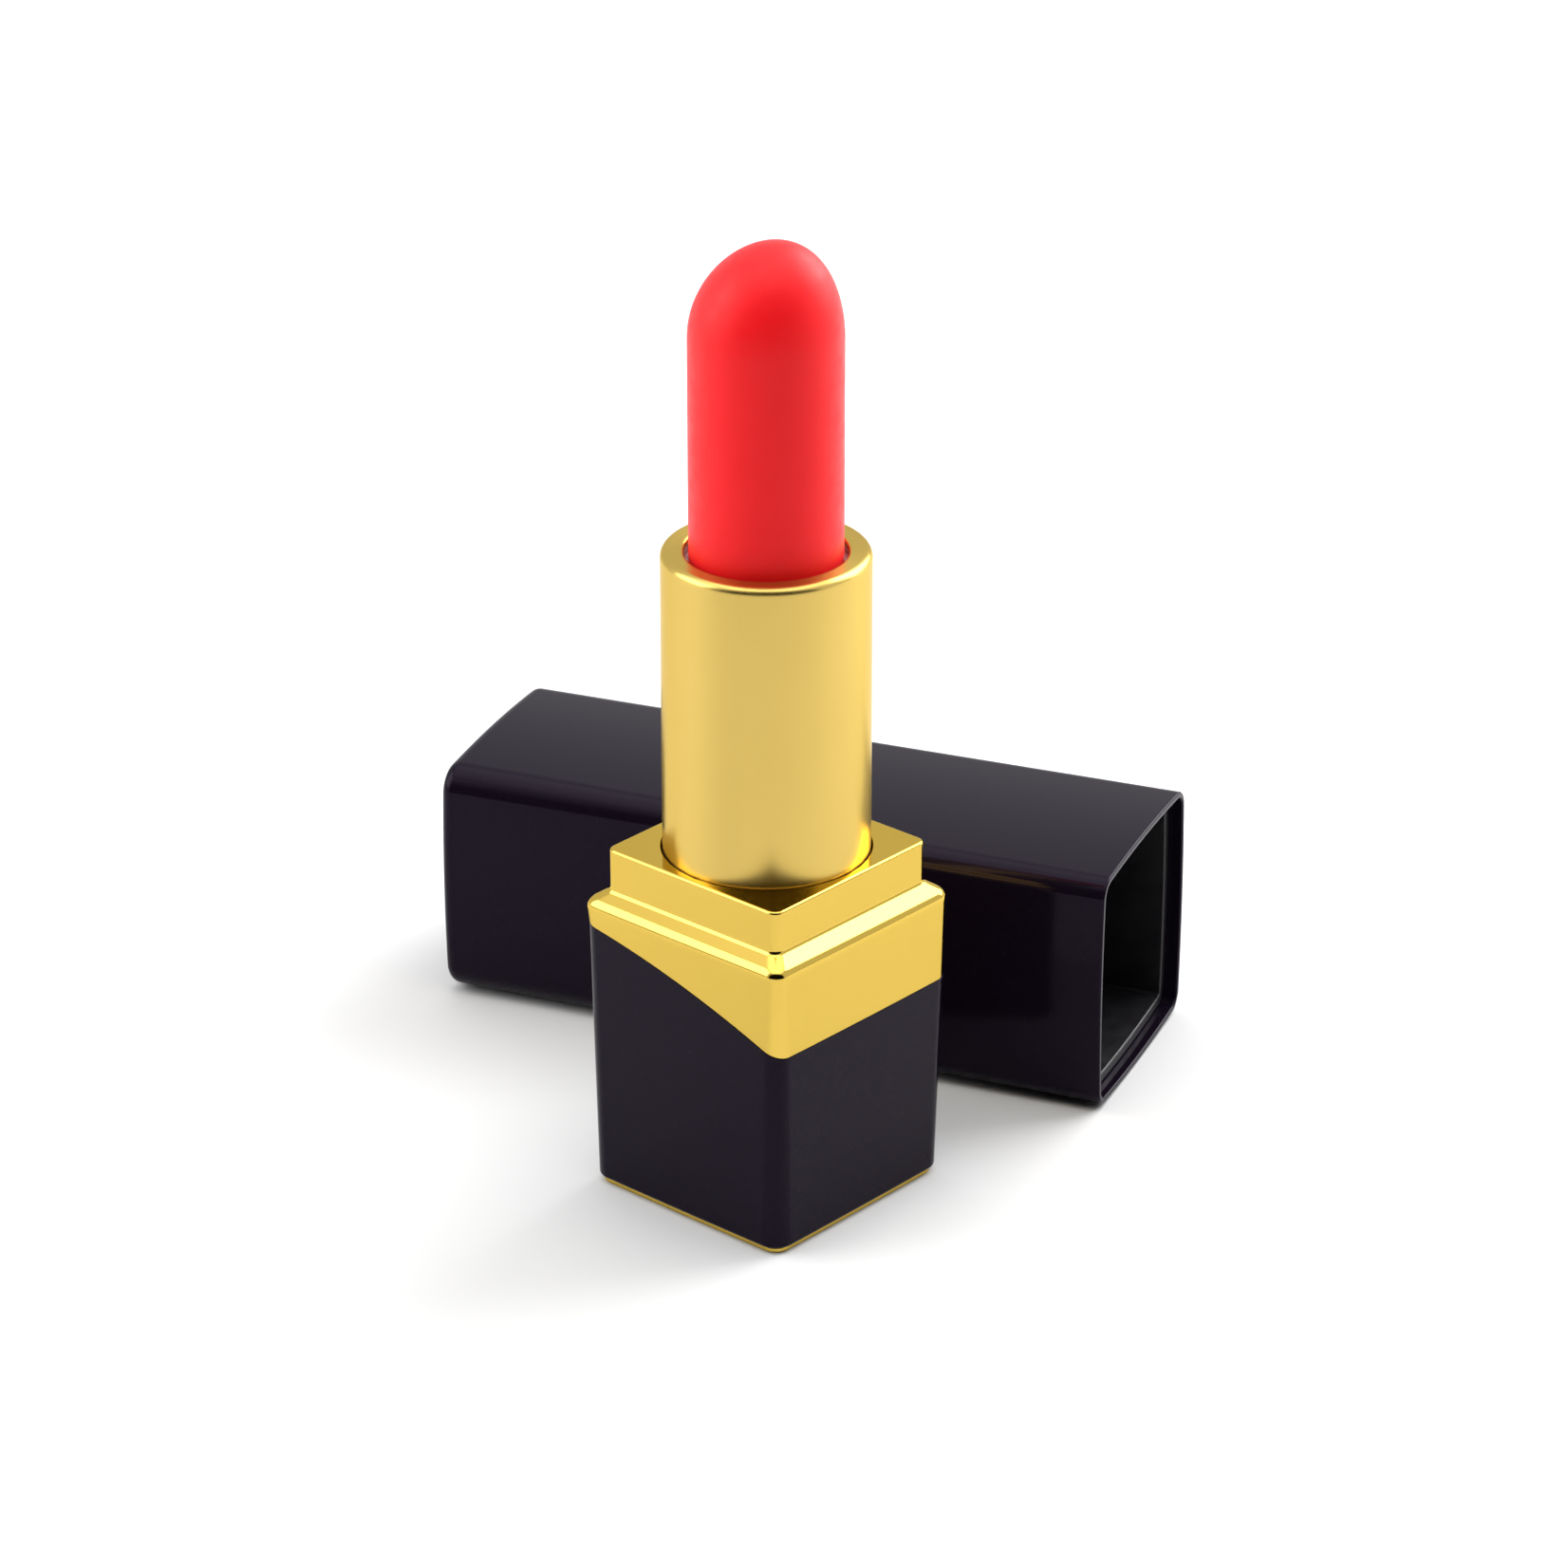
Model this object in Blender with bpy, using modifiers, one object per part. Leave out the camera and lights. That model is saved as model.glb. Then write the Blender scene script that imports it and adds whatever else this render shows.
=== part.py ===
"""Square lipstick case with its twist-up mechanism and its loose cap.

The base stands upright on its foot plate, with the bullet wound fully up. The cap lies on one side on the
same surface, behind the base. The origin is the centre of the foot's underside, +Z is up, and +X runs along
the axis of the lying cap, towards its mouth. Lengths are in metres.

The base assembly hangs from one empty on the turning axis, so its pieces are written in the base's own axes.
"""

import math

import bmesh
import bpy
from mathutils import Matrix, Vector

MM = 0.001

# Square case, which narrows a little from the shoulder down to the foot
CASE_WIDTH = 21.0 * MM
CASE_NARROWING = 0.7 * MM
CASE_CORNER = 1.4 * MM
CASE_FOOT_CORNER = 1.7 * MM
BASE_YAW = math.radians(-19.69)
SEAM = 0.05 * MM

# Foot and base shell
FOOT_HEIGHT = 0.45 * MM
FOOT_INSET = 0.4 * MM
SPIGOT_RADIUS = 7.3 * MM
SPIGOT_HEIGHT = 1.1 * MM
LABEL_RADIUS = 6.4 * MM
LABEL_THICKNESS = 0.1 * MM
LABEL_GLUE = 0.05 * MM
SHELL_WALL = 0.7 * MM
SHELL_FOOT_EDGE = 0.8 * MM
INSIDE_ROUND = 0.1 * MM

# Curved, slanted line where the black shell meets the gold collar, at the two opposite faces
SLANT_HIGH = 23.3 * MM
SLANT_LOW = 17.6 * MM

# Collar: band, sloping shoulder and square neck
SHOULDER_HEIGHT = 25.1 * MM
SHOULDER_RISE = 1.0 * MM
SHOULDER_ROUND = 0.35 * MM
NECK_WIDTH = 18.1 * MM
NECK_TOP = 29.66 * MM
NECK_CORNER = 0.9 * MM
NECK_EDGE = 0.22 * MM
SKIRT_WALL = 0.6 * MM
SKIRT_DEPTH = 19.0 * MM
COLLAR_CEILING = 0.8 * MM

# Insert and weight inside the base
INSERT_FLANGE = 2.2 * MM
WEIGHT_RADIUS = 7.2 * MM
WEIGHT_HEIGHT = 5.7 * MM
WEIGHT_CLEARANCE = 0.1 * MM
WEB_THICKNESS = 1.0 * MM

# Turning sleeve and its helical slots
SLEEVE_RADIUS = 8.27 * MM
SLEEVE_WALL = 0.5 * MM
SLEEVE_TOP = 54.99 * MM
LIP_GAP = 0.35 * MM
LIP_THICKNESS = 0.7 * MM
LIP_ROUND = 0.6 * MM
TURN_CLEARANCE = 0.14 * MM
SPIRAL_WALL = 0.5 * MM
TURN_ANGLE = math.radians(450)

# Inner body, carrier cup and bullet
SLIDE_CLEARANCE = 0.06 * MM
INNER_WALL = 0.5 * MM
FLANGE_THICKNESS = 1.0 * MM
KEY_WIDTH = 6.0 * MM
KEY_HEIGHT = 0.8 * MM
CUP_WALL = 0.5 * MM
CUP_DEPTH = 10.0 * MM
CUP_FLOOR = 1.0 * MM
CUP_DROP = 0.5 * MM
LUG_RADIUS = 1.0 * MM
LUG_CLEARANCE = 0.15 * MM
LUG_HEIGHT = 2.0 * MM
BULLET_TOP = 80.0 * MM
DOME_HEIGHT = 7.65 * MM
DOME_LEAN = 0.8 * MM
DOME_LEAN_ANGLE = math.radians(42)
BULLET_FIT = 0.05 * MM
FLOOR_ROOM = 7.23 * MM

# Brake ring between the inner body's flange and the sleeve
RING_SECTION = 0.4 * MM

# Cap
CAP_WIDTH = 21.4 * MM
CAP_LENGTH = 59.67 * MM
CAP_CORNER = 2.5 * MM
CAP_END_CORNER = 3.3 * MM
CAP_END_EDGE = 1.0 * MM
CAP_WALL = 0.55 * MM
CAP_CENTRE = Vector((-8.15 * MM, 30.05 * MM))
LINER_WALL = 0.9 * MM
LINER_SETBACK = 1.2 * MM
LINER_END_GAP = 0.3 * MM

# Facets
ROUND_STEPS = 72
RING_STEPS = 48
BULLET_STEPS = 56
LUG_STEPS = 20
DOME_STEPS = 12
CORNER_STEPS = 5
EDGE_STEPS = 3
LINE_STEPS = 8
HELIX_SIDES = 8
HELIX_STEPS = 50
HELIX_MARGIN = 1.1
MERGE = 0.00001
OVERCUT = 2.0 * MM

# Fits and levels worked out from the sizes above
CASE_HALF = CASE_WIDTH / 2
FOOT_HALF = (CASE_WIDTH - CASE_NARROWING) / 2
SHOULDER_CORNER = max(CASE_CORNER, SHELL_WALL + INSIDE_ROUND)
FOOT_CORNER = max(CASE_FOOT_CORNER, SHOULDER_CORNER, SHELL_FOOT_EDGE + INSIDE_ROUND + SHELL_WALL)
SHELL_EDGE = max(SHELL_FOOT_EDGE, SHELL_WALL + INSIDE_ROUND)
SHELL_BOTTOM = FOOT_HEIGHT + SEAM
SKIRT_INSET = SHELL_WALL + SEAM
SOCKET_INSET = SKIRT_INSET + SKIRT_WALL
INSERT_INSET = SOCKET_INSET + SEAM
NECK_HALF = NECK_WIDTH / 2
NECK_BOTTOM = SHOULDER_HEIGHT + SHOULDER_RISE
INSERT_BOTTOM = max(SHELL_BOTTOM + SHELL_WALL, FOOT_HEIGHT + SPIGOT_HEIGHT) + SEAM
INSERT_TOP = SHOULDER_HEIGHT - COLLAR_CEILING - SEAM
SKIRT_BOTTOM = max(SHOULDER_HEIGHT - SKIRT_DEPTH, INSERT_BOTTOM + INSERT_FLANGE + SEAM)
SLEEVE_BORE_RADIUS = SLEEVE_RADIUS + TURN_CLEARANCE
WEIGHT_BOTTOM = INSERT_BOTTOM
WEIGHT_TOP = WEIGHT_BOTTOM + WEIGHT_HEIGHT
WEB_BOTTOM = WEIGHT_TOP + WEIGHT_CLEARANCE
WEB_TOP = WEB_BOTTOM + WEB_THICKNESS
INNER_BOTTOM = WEB_TOP + SEAM
FLANGE_TOP = INNER_BOTTOM + FLANGE_THICKNESS
RING_CENTRE = FLANGE_TOP + SEAM + RING_SECTION
SLEEVE_BOTTOM = RING_CENTRE + RING_SECTION + SEAM
SPIRAL_RADIUS = SLEEVE_RADIUS - SLEEVE_WALL - SEAM
SPIRAL_BORE_RADIUS = SPIRAL_RADIUS - SPIRAL_WALL
INNER_RADIUS = SPIRAL_BORE_RADIUS - SLIDE_CLEARANCE
INNER_BORE_RADIUS = INNER_RADIUS - INNER_WALL
CUP_RADIUS = INNER_BORE_RADIUS - SLIDE_CLEARANCE
CUP_BORE_RADIUS = CUP_RADIUS - CUP_WALL
BULLET_RADIUS = CUP_BORE_RADIUS - BULLET_FIT
LIP_BORE_RADIUS = BULLET_RADIUS + LIP_GAP
LIP_BOTTOM = SLEEVE_TOP - LIP_THICKNESS
MECHANISM_TOP = LIP_BOTTOM - 2 * SEAM
CUP_TOP = MECHANISM_TOP - CUP_DROP
CUP_BOTTOM = CUP_TOP - CUP_DEPTH - CUP_FLOOR
LUG_LEVEL = CUP_BOTTOM + LUG_HEIGHT
BULLET_BOTTOM = CUP_TOP - CUP_DEPTH + BULLET_FIT
TRAVEL = CUP_BOTTOM - FLANGE_TOP - FLOOR_ROOM
SLOT_RADIUS = LUG_RADIUS + LUG_CLEARANCE
CAP_HALF = CAP_WIDTH / 2
CAP_ROUND = max(CAP_CORNER, CAP_WALL + LINER_WALL + INSIDE_ROUND)
CAP_EDGE = max(CAP_END_EDGE, CAP_WALL + INSIDE_ROUND)
LINER_EDGE = LINER_WALL + INSIDE_ROUND
CAP_END_ROUND = max(CAP_END_CORNER, CAP_ROUND, CAP_WALL + LINER_WALL + LINER_EDGE + INSIDE_ROUND)
LINER_ROUND = CAP_ROUND - CAP_WALL
LINER_END_ROUND = CAP_END_ROUND - CAP_WALL
LINER_HALF = CAP_HALF - CAP_WALL - SEAM
LINER_LENGTH = CAP_LENGTH - CAP_WALL - LINER_END_GAP - LINER_SETBACK


def clear_scene():
    """Remove every object that the new file starts with."""
    for item in list(bpy.data.objects):
        bpy.data.objects.remove(item, do_unlink=True)


def new_collection(name):
    """Make a collection and link it to the scene."""
    collection = bpy.data.collections.new(name)
    bpy.context.scene.collection.children.link(collection)
    return collection


def material(name, colour, roughness, metallic=0.0):
    """Make a plain Principled material."""
    made = bpy.data.materials.new(name)
    made.use_nodes = True
    shader = made.node_tree.nodes["Principled BSDF"]
    shader.inputs["Base Color"].default_value = (*colour, 1.0)
    shader.inputs["Roughness"].default_value = roughness
    shader.inputs["Metallic"].default_value = metallic
    return made


class Bench:
    """Holds the collections and materials, and puts each finished object in its place."""

    def __init__(self):
        self.parts = new_collection("lipstick_case")
        self.cutters = new_collection("cutters")
        self.guides = new_collection("guides")
        self.black = material("black_lacquer", (0.012, 0.010, 0.014), 0.18)
        self.black_plastic = material("black_plastic", (0.010, 0.009, 0.012), 0.4)
        self.gold = material("gold_anodised", (0.80, 0.58, 0.17), 0.15, 1.0)
        self.satin_gold = material("gold_satin", (0.78, 0.60, 0.22), 0.28, 1.0)
        self.steel = material("weight_steel", (0.55, 0.55, 0.56), 0.35, 1.0)
        self.white_plastic = material("white_plastic", (0.85, 0.85, 0.83), 0.35)
        self.rubber = material("brake_rubber", (0.05, 0.05, 0.05), 0.7)
        self.wax = material("red_wax", (0.85, 0.025, 0.035), 0.45)
        self.paper = material("label_paper", (0.9, 0.9, 0.88), 0.6)
        self.base_axis = self.empty("base_axis", rotation=BASE_YAW)
        self.sleeve_axis = self.empty("sleeve_axis", parent=self.base_axis)
        self.carrier_axis = self.empty("carrier_axis", parent=self.base_axis)
        self.cap_axis = self.empty("cap_axis", location=(CAP_CENTRE.x, CAP_CENTRE.y, CAP_HALF))

    def empty(self, name, location=(0, 0, 0), rotation=0.0, parent=None):
        """Make an empty that marks the axis of a body."""
        axis = bpy.data.objects.new(name, None)
        axis.location = location
        axis.rotation_euler = (0, 0, rotation)
        axis.parent = parent
        axis.empty_display_size = 5 * MM
        self.guides.objects.link(axis)
        return axis

    def part(self, name, mesh, finish, parent):
        """Link a mesh as a named part."""
        item = bpy.data.objects.new(name, mesh)
        item.parent = parent
        mesh.materials.append(finish)
        self.parts.objects.link(item)
        return item

    def cutter(self, name, mesh, parent):
        """Link a mesh as a hidden cutter."""
        item = bpy.data.objects.new(name, mesh)
        item.parent = parent
        item.hide_render = True
        item.display_type = "WIRE"
        self.cutters.objects.link(item)
        return item


def finish_mesh(name, work):
    """Write a bmesh to a new mesh with its faces pointing out."""
    bmesh.ops.recalc_face_normals(work, faces=work.faces)
    mesh = bpy.data.meshes.new(name)
    work.to_mesh(mesh)
    work.free()
    return mesh


def bevel_where(work, chosen, width, segments):
    """Round the edges of a bmesh that a test picks."""
    edges = [edge for edge in work.edges if chosen(edge)]
    bmesh.ops.bevel(
        work, geom=edges, offset=width, segments=segments, profile=0.5, affect="EDGES", clamp_overlap=True
    )


def along(axis):
    """Give a test for the edges that run along an axis, 0 for X to 2 for Z."""
    def runs(edge):
        way = edge.verts[0].co - edge.verts[1].co
        return abs(way[axis]) > 0.99 * way.length
    return runs


def block(name, half, low, high, corner=0.0):
    """Make an upright square block with rounded upright edges."""
    work = bmesh.new()
    bmesh.ops.create_cube(work, size=1.0)
    bmesh.ops.scale(work, vec=(2 * half, 2 * half, high - low), verts=work.verts)
    bmesh.ops.translate(work, vec=(0, 0, (low + high) / 2), verts=work.verts)
    if corner > 0:
        bevel_where(work, along(2), corner, CORNER_STEPS)
    return finish_mesh(name, work)


def cylinder(name, radius, low, high, steps=ROUND_STEPS):
    """Make an upright solid cylinder."""
    work = bmesh.new()
    bmesh.ops.create_cone(
        work, cap_ends=True, segments=steps, radius1=radius, radius2=radius, depth=high - low
    )
    bmesh.ops.translate(work, vec=(0, 0, (low + high) / 2), verts=work.verts)
    return finish_mesh(name, work)


def rounded_square(half, corner):
    """Give the corner arcs of a square outline, anticlockwise."""
    points = []
    reach = half - corner
    for quarter in range(4):
        turn = quarter * math.pi / 2
        centre = Matrix.Rotation(turn, 2) @ Vector((reach, reach))
        for step in range(CORNER_STEPS + 1):
            angle = turn + step * math.pi / 2 / CORNER_STEPS
            points.append(centre + corner * Vector((math.cos(angle), math.sin(angle))))
    return points


def square_loft(name, sections, lid=True):
    """Loft through square sections, each a level, a half width and a corner radius; no lid leaves it open."""
    work = bmesh.new()
    rings = []
    for level, half, corner in sections:
        outline = rounded_square(half, corner)
        rings.append([work.verts.new((point.x, point.y, level)) for point in outline])
    count = len(rings[0])
    for lower, upper in zip(rings, rings[1:]):
        for here in range(count):
            following = (here + 1) % count
            work.faces.new((lower[here], lower[following], upper[following], upper[here]))
    work.faces.new(list(reversed(rings[0])))
    if lid:
        work.faces.new(rings[-1])
    return finish_mesh(name, work)


def square_cup(name, levels, halves, corners, edge):
    """Make the outer skin of a square cup, open at the top, whose half width and corner radius may change."""
    low, high = levels
    sections = []
    for step in range(EDGE_STEPS + 1):
        angle = math.pi / 2 * step / EDGE_STEPS
        inset = edge * (1 - math.sin(angle))
        sections.append((low + edge * (1 - math.cos(angle)), halves[0] - inset, corners[0] - inset))
    sections.append((high, halves[1], corners[1]))
    return square_loft(name, sections, lid=False)


def case_half(level):
    """Give half the base's width at a level, which grows evenly from the foot up to the shoulder."""
    share = (level - SHELL_BOTTOM) / (SHOULDER_HEIGHT - SHELL_BOTTOM)
    return FOOT_HALF + (CASE_HALF - FOOT_HALF) * share


def case_corner(level):
    """Give the radius of the base's upright edges at a level, even from the foot up to the shoulder."""
    share = (level - SHELL_BOTTOM) / (SHOULDER_HEIGHT - SHELL_BOTTOM)
    return FOOT_CORNER + (SHOULDER_CORNER - FOOT_CORNER) * share


def case_fill(name, low, high, inset):
    """Make a solid that follows the base's outside at a depth under it, between two levels."""
    sections = []
    for level in (low, high):
        sections.append((level, case_half(level) - inset, max(case_corner(level) - inset, INSIDE_ROUND)))
    return square_loft(name, sections)


def outline_mesh(name, points, closed):
    """Make a mesh of edges through points of radius and level, in the XZ plane."""
    mesh = bpy.data.meshes.new(name)
    count = len(points)
    edges = [(here, here + 1) for here in range(count - 1)]
    if closed:
        edges.append((count - 1, 0))
    mesh.from_pydata([(radius, 0, level) for radius, level in points], edges, [])
    return mesh


def screw(item, steps=ROUND_STEPS):
    """Turn an outline round the Z axis."""
    turn = item.modifiers.new("turn", "SCREW")
    turn.steps = steps
    turn.render_steps = steps
    turn.use_merge_vertices = True
    turn.merge_threshold = MERGE
    turn.use_smooth_shade = True


def solidify(item, thickness):
    """Give an outer skin its wall, inwards."""
    wall = item.modifiers.new("wall", "SOLIDIFY")
    wall.thickness = thickness
    wall.offset = -1
    wall.use_even_offset = True


def boolean(item, tool, operation):
    """Cut or join an object with another."""
    change = item.modifiers.new(tool.name, "BOOLEAN")
    change.operation = operation
    change.solver = "EXACT"
    change.object = tool


def applied_mesh(item):
    """Give the evaluated shape of an object as a mesh of its own, with its loose seams joined."""
    bpy.context.view_layer.update()
    graph = bpy.context.evaluated_depsgraph_get()
    mesh = bpy.data.meshes.new_from_object(item.evaluated_get(graph))
    work = bmesh.new()
    work.from_mesh(mesh)
    bmesh.ops.remove_doubles(work, verts=work.verts, dist=MERGE)
    bmesh.ops.recalc_face_normals(work, faces=work.faces)
    work.to_mesh(mesh)
    work.free()
    return mesh


def quarter_arc(radius_centre, level_centre, size, start, end, steps=CORNER_STEPS):
    """Give points of an arc in the radius and level plane, angles in degrees."""
    points = []
    for step in range(steps + 1):
        angle = math.radians(start + (end - start) * step / steps)
        points.append((radius_centre + size * math.cos(angle), level_centre + size * math.sin(angle)))
    return points


def line_height(across):
    """Give the slanted line's height, which falls along local X, at first gently and then more steeply."""
    share = (across + CASE_HALF) / CASE_WIDTH
    return SLANT_HIGH - (SLANT_HIGH - SLANT_LOW) * (share + share * share) / 2


def line_cutter(bench, name, gap, above):
    """Make a cutter whose curved face is the line between shell and collar, gap above it."""
    reach = CASE_HALF + OVERCUT
    end = 2 * CASE_WIDTH if above else -2 * CASE_WIDTH
    work = bmesh.new()
    outline = [(-reach, end), (reach, end)]
    for step in range(LINE_STEPS + 1):
        across = reach - 2 * reach * step / LINE_STEPS
        outline.append((across, line_height(across) + gap))
    face = work.faces.new([work.verts.new((across, -reach, level)) for across, level in outline])
    pulled = bmesh.ops.extrude_face_region(work, geom=[face])["geom"]
    moved = [item for item in pulled if isinstance(item, bmesh.types.BMVert)]
    bmesh.ops.translate(work, vec=(0, 2 * reach, 0), verts=moved)
    return bench.cutter(name, finish_mesh(name, work), bench.base_axis)


def build_foot(bench):
    """Gold foot plate with its spigot, and the blank label let into its underside."""
    plate = block("foot_plate", FOOT_HALF - FOOT_INSET, 0, FOOT_HEIGHT, FOOT_CORNER - FOOT_INSET)
    foot = bench.part("foot_plate", plate, bench.gold, bench.base_axis)
    spigot = bench.cutter(
        "foot_spigot",
        cylinder("foot_spigot", SPIGOT_RADIUS, FOOT_HEIGHT / 2, FOOT_HEIGHT + SPIGOT_HEIGHT),
        bench.base_axis,
    )
    recess = bench.cutter(
        "label_recess",
        cylinder("label_recess", LABEL_RADIUS + SEAM, -OVERCUT, LABEL_THICKNESS + LABEL_GLUE),
        bench.base_axis,
    )
    boolean(foot, spigot, "UNION")
    boolean(foot, recess, "DIFFERENCE")
    label = cylinder("shade_label", LABEL_RADIUS, 0, LABEL_THICKNESS)
    bench.part("shade_label", label, bench.paper, bench.base_axis)


def build_base_shell(bench):
    """Black square shell, cut off along the slanted line at its top and holed for the foot's spigot."""
    top = SLANT_HIGH + OVERCUT
    halves = (FOOT_HALF, case_half(top))
    corners = (FOOT_CORNER, case_corner(top))
    skin = square_cup("base_shell", (SHELL_BOTTOM, top), halves, corners, SHELL_EDGE)
    shell = bench.part("base_shell", skin, bench.black, bench.base_axis)
    solidify(shell, SHELL_WALL)
    boolean(shell, line_cutter(bench, "shell_line", 0.0, above=True), "DIFFERENCE")
    hole = cylinder("spigot_hole", SPIGOT_RADIUS + SEAM, 0, SHELL_BOTTOM + SHELL_WALL + OVERCUT / 2)
    boolean(shell, bench.cutter("spigot_hole", hole, bench.base_axis), "DIFFERENCE")


def build_collar(bench):
    """Gold collar: slanted band, sloping shoulder and neck, with a skirt that fits inside the shell."""
    band_bottom = SLANT_LOW - OVERCUT
    round_bottom = SHOULDER_HEIGHT - SHOULDER_ROUND
    sections = [
        (band_bottom, case_half(band_bottom), case_corner(band_bottom)),
        (round_bottom, case_half(round_bottom), case_corner(round_bottom)),
        (SHOULDER_HEIGHT, CASE_HALF - SHOULDER_ROUND / 2, SHOULDER_CORNER),
        (NECK_BOTTOM, NECK_HALF, NECK_CORNER),
        (NECK_TOP - NECK_EDGE, NECK_HALF, NECK_CORNER),
        (NECK_TOP, NECK_HALF - NECK_EDGE, NECK_CORNER - NECK_EDGE),
    ]
    collar = bench.part("collar", square_loft("collar", sections), bench.gold, bench.base_axis)
    boolean(collar, line_cutter(bench, "band_line", SEAM, above=False), "DIFFERENCE")
    skirt = case_fill("collar_skirt", SKIRT_BOTTOM, SHOULDER_HEIGHT - SEAM, SKIRT_INSET)
    boolean(collar, bench.cutter("collar_skirt", skirt, bench.base_axis), "UNION")
    socket_top = SHOULDER_HEIGHT - COLLAR_CEILING
    socket = case_fill("collar_socket", SKIRT_BOTTOM - OVERCUT, socket_top, SOCKET_INSET)
    boolean(collar, bench.cutter("collar_socket", socket, bench.base_axis), "DIFFERENCE")
    bore = cylinder("collar_bore", SLEEVE_BORE_RADIUS, INSERT_TOP - OVERCUT, NECK_TOP + OVERCUT)
    boolean(collar, bench.cutter("collar_bore", bore, bench.base_axis), "DIFFERENCE")


def build_insert(bench):
    """Plastic plug that fills the base, carries the collar and holds the mechanism and the weight."""
    body = case_fill("base_insert", INSERT_BOTTOM, INSERT_TOP, INSERT_INSET)
    insert = bench.part("base_insert", body, bench.black_plastic, bench.base_axis)
    flange_top = INSERT_BOTTOM + INSERT_FLANGE
    flange = case_fill("insert_flange", INSERT_BOTTOM, flange_top, SKIRT_INSET)
    boolean(insert, bench.cutter("insert_flange", flange, bench.base_axis), "UNION")
    bore = cylinder("insert_bore", SLEEVE_BORE_RADIUS, WEB_TOP, INSERT_TOP + OVERCUT)
    boolean(insert, bench.cutter("insert_bore", bore, bench.base_axis), "DIFFERENCE")
    pocket = cylinder("weight_pocket", WEIGHT_RADIUS + WEIGHT_CLEARANCE, INSERT_BOTTOM - OVERCUT, WEB_BOTTOM)
    boolean(insert, bench.cutter("weight_pocket", pocket, bench.base_axis), "DIFFERENCE")
    keyway = block("insert_keyway", KEY_WIDTH / 2 + SEAM, WEB_BOTTOM - OVERCUT, WEB_TOP + OVERCUT)
    boolean(insert, bench.cutter("insert_keyway", keyway, bench.base_axis), "DIFFERENCE")


def build_weight(bench):
    """Steel slug that gives the base its heft."""
    slug = cylinder("base_weight", WEIGHT_RADIUS, WEIGHT_BOTTOM, WEIGHT_TOP)
    bench.part("base_weight", slug, bench.steel, bench.base_axis)


def build_inner_body(bench):
    """Fixed guide tube with two straight slots, a flange and a square key that locks it in the insert."""
    points = [
        (INNER_RADIUS, MECHANISM_TOP),
        (INNER_RADIUS, FLANGE_TOP),
        (SLEEVE_RADIUS, FLANGE_TOP),
        (SLEEVE_RADIUS, INNER_BOTTOM),
        (0, INNER_BOTTOM),
        (0, FLANGE_TOP),
        (INNER_BORE_RADIUS, FLANGE_TOP),
        (INNER_BORE_RADIUS, MECHANISM_TOP),
    ]
    outline = outline_mesh("inner_body", points, True)
    body = bench.part("inner_body", outline, bench.white_plastic, bench.base_axis)
    screw(body)
    low = LUG_LEVEL - TRAVEL - SLOT_RADIUS
    high = LUG_LEVEL + SLOT_RADIUS
    slot = block("guide_slots", 1.0, low, high)
    slot.transform(Matrix.Diagonal((2 * SLEEVE_RADIUS, SLOT_RADIUS, 1.0, 1.0)))
    boolean(body, bench.cutter("guide_slots", slot, bench.base_axis), "DIFFERENCE")
    key = block("inner_key", KEY_WIDTH / 2, INNER_BOTTOM - KEY_HEIGHT, INNER_BOTTOM + FLANGE_THICKNESS / 2)
    boolean(body, bench.cutter("inner_key", key, bench.base_axis), "UNION")


def build_brake_ring(bench):
    """Rubber ring that gives the sleeve its drag."""
    middle = (INNER_RADIUS + SLEEVE_RADIUS) / 2
    points = quarter_arc(middle, RING_CENTRE, RING_SECTION, 90, -270, steps=10)[:-1]
    ring = bench.part("brake_ring", outline_mesh("brake_ring", points, True), bench.rubber, bench.base_axis)
    screw(ring, RING_STEPS)


def build_sleeve(bench):
    """Gold outer sleeve with its rounded inward lip."""
    bore = SLEEVE_RADIUS - SLEEVE_WALL
    rounding = quarter_arc(SLEEVE_RADIUS - LIP_ROUND, SLEEVE_TOP - LIP_ROUND, LIP_ROUND, 90, 0)
    inner_round = LIP_THICKNESS / 2
    lip = quarter_arc(LIP_BORE_RADIUS + inner_round, SLEEVE_TOP - inner_round, inner_round, 270, 90)
    points = [*rounding, (SLEEVE_RADIUS, SLEEVE_BOTTOM), (bore, SLEEVE_BOTTOM), (bore, LIP_BOTTOM), *lip]
    outline = outline_mesh("outer_sleeve", points, True)
    screw(bench.part("outer_sleeve", outline, bench.satin_gold, bench.sleeve_axis))


def helix_cutter(bench, name, start):
    """Make the round tube that cuts one helical slot, from the raised lug down round the sleeve."""
    curve = bpy.data.curves.new(name, "CURVE")
    curve.dimensions = "3D"
    curve.bevel_depth = SLOT_RADIUS / math.cos(math.pi / HELIX_SIDES)
    curve.bevel_resolution = 2
    curve.use_fill_caps = True
    radius = (SPIRAL_RADIUS + SPIRAL_BORE_RADIUS) / 2
    margin = HELIX_MARGIN * SLOT_RADIUS / radius
    path = curve.splines.new("POLY")
    path.points.add(HELIX_STEPS)
    for step, point in enumerate(path.points):
        angle = margin - (TURN_ANGLE + 2 * margin) * step / HELIX_STEPS
        level = LUG_LEVEL + TRAVEL * angle / TURN_ANGLE
        point.co = (radius * math.cos(start + angle), radius * math.sin(start + angle), level, 1.0)
    tube = bpy.data.objects.new(name, curve)
    bench.cutters.objects.link(tube)
    mesh = applied_mesh(tube)
    bpy.data.objects.remove(tube, do_unlink=True)
    return bench.cutter(name, mesh, bench.sleeve_axis)


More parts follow.
